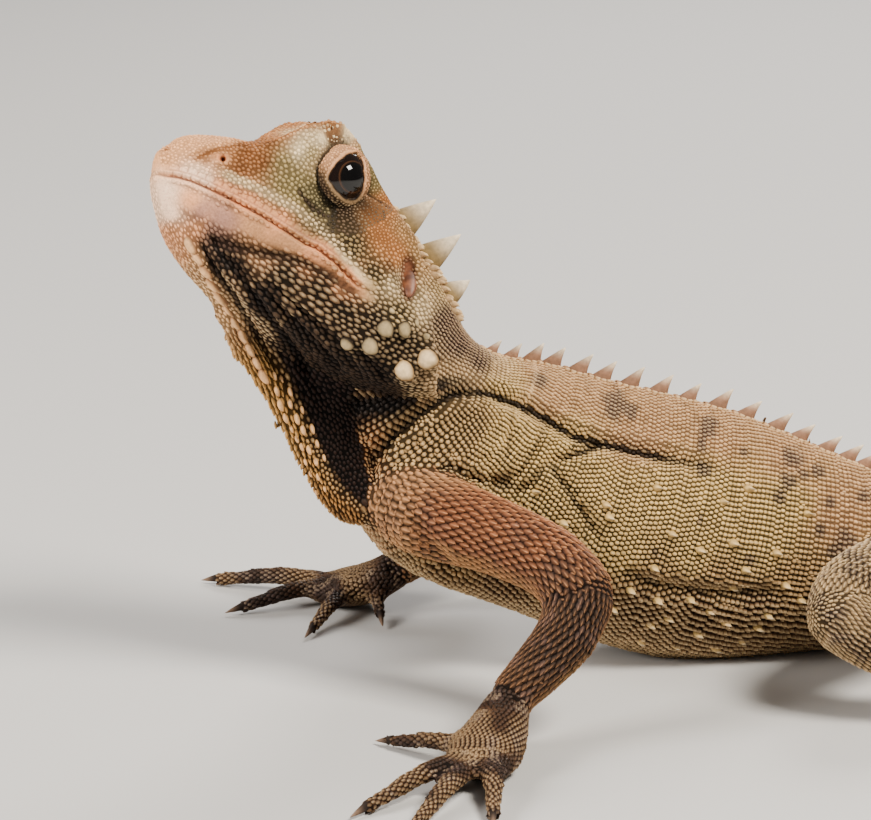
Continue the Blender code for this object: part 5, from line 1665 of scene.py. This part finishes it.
# %% Let them push each other apart
PUSH_ROUNDS = 4
fill, fill_parts, spacing = tries[kept], try_parts[kept], spacing[kept]
ways, stretch, squash = ways[kept], stretch[kept], squash[kept]
for _ in range(PUSH_ROUNDS):
    tree = tree_of(fill)
    pairs = [(index, number) for index, point in enumerate(fill)
             for _, number, _ in tree.find_range(point, spacing[index] * 1.15 * stretch[index])
             if number != index]
    one, other = np.array(pairs).T
    apart = fill[one] - fill[other]
    along = (apart * ways[one]).sum(1)
    gap = np.sqrt(np.maximum((apart ** 2).sum(1) - squash[one] * along ** 2, 1e-6))
    push = np.maximum(spacing[one] * 1.15 - gap, 0) / gap * 0.28
    moves = np.stack([np.bincount(one, apart[:, k] * push, len(fill)) for k in range(3)], axis=1)
    fill = fill + np.clip(moves, -0.2, 0.2)
    fill = np.array([skin_tree.find_nearest(point)[0] for point in fill])
found = [skin_tree.find_nearest(point) for point in fill]
fill_normals = np.array([hit[1] for hit in found])
fill_places = photo_place(left_twins(fill, fill_parts))
band = (np.abs(along_line(FAN_FRONT, fill_places)[0]) < 30) & (fill_parts == FLESH.index("dewlap"))
for index in np.where(band)[0]:
    near = skin_tree.find_nearest_range(Vector(fill[index]), 0.9)
    around = np.sum([np.array(hit[1]) for hit in near], axis=0)
    fill_normals[index] = unit(around) if norm(around) > 0.5 else fill_normals[index]
for name, kind, chosen, longer, height in (
        ("mosaic of the head", "granule", np.isin(fill_parts, HEAD_SET) & ~band, 1.13, 0.34),
        ("mosaic of the fan's edge", "pointed", band, 1.25, 0.6),
        ("mosaic of the joints", "keeled", ~np.isin(fill_parts, HEAD_SET), 1.35, 0.28)):
    size = spacing[chosen]
    height = height * (np.interp(size, (0.36, 0.55), (0.6, 1.0)) if kind == "granule" else 1.0)
    coat.add(name, kind, fill[chosen], fill_normals[chosen], ways[chosen], size * stretch[chosen] * longer,
             size * (np.interp(size, (0.42, 0.56), (1.1, 0.96)) if kind == "granule" else 0.95),
             height * size ** 0.5)

# %% [markdown]
# ## Spines
# A comb of flat, pointed spines runs along the neck's end and the back, shaped like small
# shark fins with an upright rear edge. The nape has three tall thorns with clusters of
# small ones round them. All are copies of two shapes modelled above, and stand where the
# solids have theirs.

# %% The comb of the back
NAPE_SPINES = ((2.2, 4.9, 4.4), (7.4, 4.7, 4.2), (12.2, 2.9, 3.6))
# Where the tips show in the photo, then the step beyond its edge
CREST_TIPS = (497, 516, 537, 557, 583, 607, 635, 664, 693, 723, 751, 781, 804, 831, 852, 870)
CREST_STEP, CREST_END = 3.9, 158.0
CREST_HEIGHT = ((16, 0.8), (20, 1.3), (25, 2.0), (60, 2.45), (85, 2.2), (100, 1.7), (130, 1.0), (158, 0.6))


def on_ridge(s):
    """The skin's highest place over the middle line, with the line's ways there."""
    middle, along, side, up_way = spine.frames(s)
    hit = skin_tree.ray_cast(Vector(middle + up_way * 40), -Vector(up_way))
    return np.array(hit[0]), along, side, up_way


spine_table = np.arange(14.0, 130.0, 0.25)
table_places = photo_place(np.array([on_ridge(s)[0] for s in spine_table]))[:, 0]
crest_s = np.interp(np.array(CREST_TIPS) - 8, table_places, spine_table)
crest_s = np.concatenate([crest_s, np.arange(crest_s[-1] + CREST_STEP, CREST_END, CREST_STEP)])
heights = curve(CREST_HEIGHT, crest_s)[:, 0] * (1 + 0.05 * chance.standard_normal(len(crest_s)))
frames_there = [on_ridge(s) for s in crest_s]
roots, along, side, up_way = (np.array(column) for column in zip(*frames_there))
along = unit(np.gradient(roots, axis=0))
up_way = unit(np.cross(along, side) * np.sign((np.cross(along, side) * up_way).sum(1))[:, None])
spines = Coat()
# The spines' ivory tips are partly their own colour and partly a painted highlight
spines.add("crest", "fin", roots - up_way * 0.4, up_way, along, np.minimum(3.2, heights * 1.25 + 0.35),
           0.9 + 0.3 * heights, heights + 0.8, "spine", "ivory")
# Small scales climb the foot of each spine
for shift, across, size in ((-1.2, 0.45, 0.75), (-0.4, 0.6, 0.8), (0.4, 0.6, 0.8), (1.1, 0.45, 0.75)):
    for way in (1, -1):
        near = roots + along * shift + side * across * way * heights[:, None] * 0.4
        foot = np.array([skin_tree.find_nearest(Vector(point))[0] for point in near]) + up_way * 0.05
        spines.add("foot of the crest", "keeled", foot, unit(up_way + side * way * 1.2), along,
                   size * 1.3, size, 0.45, "back", "keel")
print("crest spines:", len(crest_s))

# %% The thorns of the nape and the small ones round them
for s, height, length in NAPE_SPINES:
    middle, along, side, up_way = spine.frames(s)
    root = middle + up_way * (float(spine.sizes(s)) - 0.7)
    # The thorns' ivory tips are partly their own colour and partly a painted highlight
    spines.add("nape thorn", "thorn", root, up_way, along, length, 3.2, height + 0.8, "nape_green", "ivory")
    for turn in np.linspace(0.3, 2 * math.tau + 0.3, 26, endpoint=False):
        reach = 1.5 + 0.12 * turn + 0.3 * math.sin(turn * 2.3)
        spot = root + along * math.cos(turn) * reach * 1.2 + side * math.sin(turn) * reach * 0.8
        place, normal, _, _ = skin_tree.find_nearest(Vector(spot))
        size = 0.8 + 0.4 * chance.random()
        spines.add("nape granule", "pointed", place, normal, along, size, size, size * 0.85, "nape", "pale")

# %% Claws
CLAW_WIDTH, CLAW_DEPTH = 0.85, 1.15
claws = Coat()
for name, digits in DIGITS.items():
    for digit in digits:
        line = Route(digit)
        end, way, side, up_way = line.frames(line.length)
        droop = math.atan2(end[2] - 0.25 - floor_height, CLAW_LENGTH * 1.3) * 0.9
        way = unit(np.array([way[0], way[1], 0]))
        out = way * math.cos(droop) - np.array([0, 0, math.sin(droop)])
        downward = np.cross(np.cross(out, [0, 0, -1]), out)
        claws.add("claw", "thorn", end - out * 0.35 + (0, 0, 0.1), out, unit(downward), CLAW_DEPTH,
                  CLAW_WIDTH, CLAW_LENGTH + 0.2, "claw", "claw_tip")

# %% [markdown]
# ## Eyes and ear drums
# The eye of this lizard is nearly black, with a thin golden ring round a wide pupil, and
# as wet and glossy as glass. A ball is modelled with its pole along the gaze, and a number
# on each point says how far it is from that pole, so that the material can draw rings. The
# ear drum is a thin oval of smooth skin at the bottom of the hollow behind the jaw.

# %% The eyeballs
IRIS_PLACE, RING_RADIUS = (352.4, 177.0), 1.9
eyes = {}
sight, centre = sight_line(*IRIS_PLACE), HEAD @ EYE_LEFT
near = EYE_POINT + sight * (centre - EYE_POINT).dot(sight) - centre
gaze = near - sight * max(0.0, EYE_RADIUS ** 2 - RING_RADIUS ** 2 - near.length_squared) ** 0.5
gaze = (HEAD_BACK.to_3x3() @ gaze).normalized()
for side, word in ((1, "left"), (-1, "right")):
    choose()
    bpy.ops.mesh.primitive_uv_sphere_add(segments=64, ring_count=64, radius=1.0)
    eye = bpy.context.object
    eye.name = "eyeball_" + word
    points = coordinates(eye)
    off_axis = np.arccos(np.clip(points[:, 2], -1, 1))
    bulge = 1 + 0.05 * np.exp(-(off_axis / 0.5) ** 4)
    way = HEAD.to_3x3() @ Vector((gaze.x, gaze.y * side, gaze.z))
    turn = np.array(way.to_track_quat("Z", "Y").to_matrix())
    points = (points * (EYE_RADIUS * 0.995 * bulge)[:, None]) @ turn.T + np.array(on_head(*EYE_PLACE, side))
    set_coordinates(eye, many(TO_SCENE, points))
    attribute = eye.data.attributes.new("off_axis", "FLOAT", "POINT")
    attribute.data.foreach_set("value", off_axis.astype(np.float32))
    eye.data.shade_smooth()
    eyes[word] = eye
    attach(eye, "root")
    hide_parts("eye_" + word)
print("eyes:", len(eyes))

# %% The ear drums
DRUM_PLACE, DRUM_SIZE = (408.5, 278), (1.0, 2.7, 0.55)
hit = skin_tree.ray_cast(EYE_POINT, sight_line(*DRUM_PLACE))
long_way = (np.array(camera_down) * 0.99 + np.array(camera_right) * 0.1)
drums = {}
for word, mirror in (("left", Matrix.Identity(4)), ("right", HEAD_MIRROR)):
    choose()
    bpy.ops.mesh.primitive_uv_sphere_add(segments=32, ring_count=16, radius=1.0)
    drum = bpy.context.object
    drum.name = "ear_drum_" + word
    out = np.array(hit[1])
    up = flattened(long_way[None], out[None])[0]
    shape = np.stack([np.cross(up, out), up, out])
    points = (coordinates(drum) * DRUM_SIZE) @ shape + np.array(hit[0]) - out * 0.15
    set_coordinates(drum, many(TO_SCENE @ mirror, points))
    if word == "right":
        drum.data.flip_normals()
    drum.data.shade_smooth()
    drums[word] = drum
    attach(drum, "root")
    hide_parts("ear_" + word)
print("ear drums:", len(drums))

# %% [markdown]
# ## The pieces of the coat
# All scales of one region become one mesh. Each point of a scale gets the scale's paint,
# darkened at the foot as painted shade and pale at the tip, partly its own colour and partly
# a painted highlight, and its height on the scale as a fourth value. Each scale also gets a
# small patch of its own on the coat's map.

# %% Make meshes from arrays
PATCH = 0.003


def lay_scales(values, kind):
    """Copy one kind of scale to many places: points, triangles, tones and map places."""
    points, triangles, rise, tip = KINDS[kind]
    out = values["normal"]
    back = flattened(values["back"], out)
    side = np.cross(out, back)
    placed = (values["place"][:, None]
              + points[None, :, 0:1] * values["length"][:, None, None] * back[:, None]
              + points[None, :, 1:2] * values["width"][:, None, None] * side[:, None]
              + (points[None, :, 2:3] * values["height"][:, None, None] - 0.08) * out[:, None])
    faces = triangles[None] + np.arange(len(placed))[:, None, None] * len(points)
    # Painted shade: each scale darkens towards its foot, to the lightness of the gaps, and its pale tip is
    # partly a painted highlight
    foot = values["foot"][:, None]
    light = foot + (1 - foot) * soft_step(rise, 0.08, 0.95)[None]
    colours = mix(values["ink"][:, None], values["tip"][:, None], np.tile(tip, (len(placed), 1)))
    tones = np.concatenate([colours * light[..., None],
                            np.tile(rise[None, :, None], (len(placed), 1, 1))], axis=2)
    spots = values["uv"][:, None] + points[None, :, :2] * PATCH
    return placed.reshape(-1, 3), faces.reshape(-1, 3), tones.reshape(-1, 4), spots.reshape(-1, 2)


def set_tone(mesh, values):
    attribute = mesh.attributes.new("tone", "FLOAT_COLOR", "POINT")
    attribute.data.foreach_set("color", values.astype(np.float32).ravel())


def picked_from(values, chosen):
    return {key: array[chosen] for key, array in values.items()}


def make_coat(region, values, slot):
    """Make one piece of the coat from the arrays of its scales."""
    batches, count = [], 0
    for kind in KINDS:
        chosen = values["kind"] == kind
        if chosen.any():
            batch = lay_scales(picked_from(values, chosen), kind)
            batches.append((batch[0], batch[1] + count, *batch[2:]))
            count += len(batch[0])
    points, faces, tones, spots = (np.concatenate(arrays) for arrays in zip(*batches))
    points[:, 2] = np.maximum(points[:, 2], floor_height)
    mesh = bpy.data.meshes.new("coat_" + region)
    mesh.vertices.add(len(points))
    mesh.vertices.foreach_set("co", many(TO_SCENE, points).astype(np.float32).ravel())
    mesh.loops.add(len(faces) * 3)
    mesh.loops.foreach_set("vertex_index", faces.astype(np.int32).ravel())
    mesh.polygons.add(len(faces))
    mesh.polygons.foreach_set("loop_start", np.arange(0, len(faces) * 3, 3, dtype=np.int32))
    mesh.polygons.foreach_set("use_smooth", np.ones(len(faces), bool))
    mesh.update(calc_edges=True)
    set_tone(mesh, tones)
    layer = mesh.uv_layers.new(name="OFBake")
    layer.data.foreach_set("uv", spots[faces.ravel()].astype(np.float32).ravel())
    piece = bpy.data.objects.new("coat_" + region, mesh)
    bpy.context.scene.collection.objects.link(piece)
    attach(piece, "root")
    print("coat_" + region, "scales:", len(values["place"]), "triangles:", len(faces))
    return piece


# %% Paint all scales, and make the pieces region by region
REGION_SLOTS = {
    "head": ("head_skin", ("head", "jaw")), "throat": ("throat_skin", ("dewlap", "neck")),
    "tail": ("tail_skin", ("tail",)),
}
for which in ("left", "right"):
    for limb, names in (("arm_", ("upper_arm_", "forearm_", "hand_")),
                        ("leg_", ("thigh_", "shin_", "foot_"))):
        REGION_SLOTS[limb + which] = "limb_skin", tuple(name + which for name in names)
TORSO_CUTS = (0, 50, 78, 200)


def finish_values(group):
    """Paint the scales of a group and find their places on the map."""
    values = group.all()
    owners = parts_at(values["place"])
    under = soft_step(-values["normal"][:, 2], 0.2, 0.8)
    colours = paint(values["place"], owners, under)
    tips = tip_paint(values["place"], owners, colours, under)
    painted = np.isnan(values["ink"][:, 0])
    vary = 1 + 0.08 * chance.standard_normal(len(owners))[:, None]
    values["ink"] = np.where(painted[:, None], colours * vary, values["ink"])
    values["tip"] = np.where(painted[:, None], tips * vary, values["tip"])
    # The foot of each painted scale takes the gaps' painted shade
    values["foot"] = np.where(painted, gap_light(values["place"], owners), 0.5)
    values["uv"] = unrolled(values["place"], owners)
    return values, owners


everything, scale_parts = finish_values(coat)
coat_pieces = []
for region, (slot, beginnings) in REGION_SLOTS.items():
    chosen = starts_with(scale_parts, *beginnings)
    coat_pieces.append(make_coat(region, picked_from(everything, chosen), slot))
stations = spine.nearest(everything["place"])
for number, (low, high) in enumerate(zip(TORSO_CUTS, TORSO_CUTS[1:])):
    chosen = starts_with(scale_parts, "torso") & (stations >= low) & (stations < high)
    coat_pieces.append(make_coat("torso_%d" % number, picked_from(everything, chosen), "body_skin"))
for region, group, slot in (("spines", spines, "body_skin"), ("claws", claws, "limb_skin")):
    coat_pieces.append(make_coat(region, finish_values(group)[0], slot))

# %% Paint the skin under the coat
under = soft_step(-normals_of(skin)[:, 2], 0.2, 0.8)
bare = smoothness(skin_points, parts)
# The skin between the scales is darkened, partly its own colour and partly painted shade, except where it is
# smooth
gaps = gap_light(skin_points, parts) * 0.8
skin_tone = paint(skin_points, parts, under) * (gaps + (1 - gaps) * bare)[:, None]
set_tone(skin.data, np.column_stack([skin_tone, bare]))
skin.data.transform(TO_SCENE)
skin.data.shade_smooth()
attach(skin, "root")
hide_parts(*FLESH)
print("smooth skin:", round(float(bare.mean()) * 100, 1), "percent of the points")

# %% [markdown]
# ## Materials
# The paint is on the meshes. The materials add what a brush can't: fine mottling, a small
# unevenness of the surface and the shine. Skin and scales share one node group for that,
# and it works with object coordinates, so that it stays in place on the model.

# %% A node group for the finish of skin and scales
def finish_group():
    group = bpy.data.node_groups.new("Skin finish", "ShaderNodeTree")
    for name, kind, default in (("Scale", "NodeSocketFloat", 2500.0), ("Depth", "NodeSocketFloat", 0.3)):
        group.interface.new_socket(name=name, in_out="INPUT", socket_type=kind).default_value = default
    for name, kind in (("Colour", "NodeSocketColor"), ("Roughness", "NodeSocketFloat"),
                       ("Normal", "NodeSocketVector")):
        group.interface.new_socket(name=name, in_out="OUTPUT", socket_type=kind)
    nodes, links = group.nodes, group.links
    given, made = nodes.new("NodeGroupInput"), nodes.new("NodeGroupOutput")
    where, tone = nodes.new("ShaderNodeTexCoord"), nodes.new("ShaderNodeAttribute")
    tone.attribute_name = "tone"
    grain = nodes.new("ShaderNodeTexNoise")
    grain.inputs["Detail"].default_value = 3.0
    mottle, shine = nodes.new("ShaderNodeMapRange"), nodes.new("ShaderNodeMapRange")
    for node, low, high in ((mottle, 0.8, 1.2), (shine, 0.36, 0.6)):
        for socket, value in zip(("From Min", "From Max", "To Min", "To Max"), (0.3, 0.7, low, high)):
            node.inputs[socket].default_value = value
    tint = nodes.new("ShaderNodeVectorMath")
    tint.operation = "SCALE"
    bump = nodes.new("ShaderNodeBump")
    bump.inputs["Distance"].default_value = 0.0001
    # Dull in the gaps between the scales, where the fourth value of the tone is 0
    dull = nodes.new("ShaderNodeMapRange")
    dull.inputs["To Min"].default_value = 0.95
    connect(links, (where, "Object", grain, "Vector"), (given, "Scale", grain, "Scale"),
            (grain, "Fac", mottle, "Value"), (grain, "Fac", shine, "Value"),
            (tone, "Color", tint, 0), (mottle, "Result", tint, "Scale"),
            (grain, "Fac", bump, "Height"), (given, "Depth", bump, "Strength"),
            (tone, "Alpha", dull, "Value"), (shine, "Result", dull, "To Max"),
            (tint, "Vector", made, "Colour"), (dull, "Result", made, "Roughness"),
            (bump, "Normal", made, "Normal"))
    return group


skin_finish = finish_group()


def skin_material(name, scale, depth, gloss):
    """A material with the shared finish, at its own fineness and depth of grain."""
    material, nodes, links, shader = new_material(name)
    finish = nodes.new("ShaderNodeGroup")
    finish.node_tree = skin_finish
    finish.inputs["Scale"].default_value = scale
    finish.inputs["Depth"].default_value = depth
    shader.inputs["Specular IOR Level"].default_value = gloss
    connect(links, (finish, "Colour", shader, "Base Color"), (finish, "Roughness", shader, "Roughness"),
            (finish, "Normal", shader, "Normal"))
    return material


skin.data.materials.append(skin_material("skin", 3500.0, 0.6, 0.15))
scale_material = skin_material("scales", 1800.0, 0.3, 0.22)
for piece in coat_pieces:
    piece.data.materials.append(scale_material)
print("materials:", len(bpy.data.materials))

# %% Eyes and ear drums
eye_paint, nodes, links, shader = new_material("eye")
off, ring = nodes.new("ShaderNodeAttribute"), nodes.new("ShaderNodeValToRGB")
off.attribute_name = "off_axis"
edge = math.asin(RING_RADIUS / EYE_RADIUS)
# Colours at angles from the pole: pupil, golden ring, iris and the white, which is dark here
steps = ((0.0, (4, 3, 3)), (edge - 0.07, (6, 5, 4)), (edge - 0.045, (46, 28, 16)),
         (edge - 0.01, (62, 39, 23)), (edge + 0.02, (18, 10, 7)), (0.85, (24, 12, 8)), (1.3, (12, 7, 6)))
while len(ring.color_ramp.elements) < len(steps):
    ring.color_ramp.elements.new(1.0)
for element, (place, colour) in zip(ring.color_ramp.elements, steps):
    element.position = place / 1.6
    element.color = (*linear(colour), 1)
share = nodes.new("ShaderNodeMath")
share.operation = "DIVIDE"
share.inputs[1].default_value = 1.6
connect(links, (off, "Fac", share, 0), (share, 0, ring, "Fac"), (ring, "Color", shader, "Base Color"))
shader.inputs["Roughness"].default_value = 0.06
drum_paint, nodes, links, shader = new_material("ear drum")
where, cloud, tint = (nodes.new("ShaderNode" + kind) for kind in ("TexCoord", "TexNoise", "ValToRGB"))
cloud.inputs["Scale"].default_value = 700.0
tint.color_ramp.elements[0].position, tint.color_ramp.elements[1].position = 0.35, 0.65
tint.color_ramp.elements[0].color = (*linear((84, 48, 32)), 1)
tint.color_ramp.elements[1].color = (*linear((150, 92, 60)), 1)
connect(links, (where, "Object", cloud, "Vector"), (cloud, "Fac", tint, "Fac"),
        (tint, "Color", shader, "Base Color"))
shader.inputs["Roughness"].default_value = 0.5
for pieces, material in ((eyes, eye_paint), (drums, drum_paint)):
    for piece in pieces.values():
        piece.data.materials.append(material)
print("materials:", len(bpy.data.materials))

# %% [markdown]
# ## The size of the model
# The boxes round the measured model and round the visual one are printed in millimetres.
# The visual model has to stay as large as the measured one, within a small share of each
# side.

# %% Print both boxes
visual_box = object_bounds()
boxes = {"cad": [list(corner) for corner in cad_box], "visual": [list(corner) for corner in visual_box]}
print("boxes in mm:", {name: [[round(value * 1000, 1) for value in corner] for corner in box]
                       for name, box in boxes.items()})
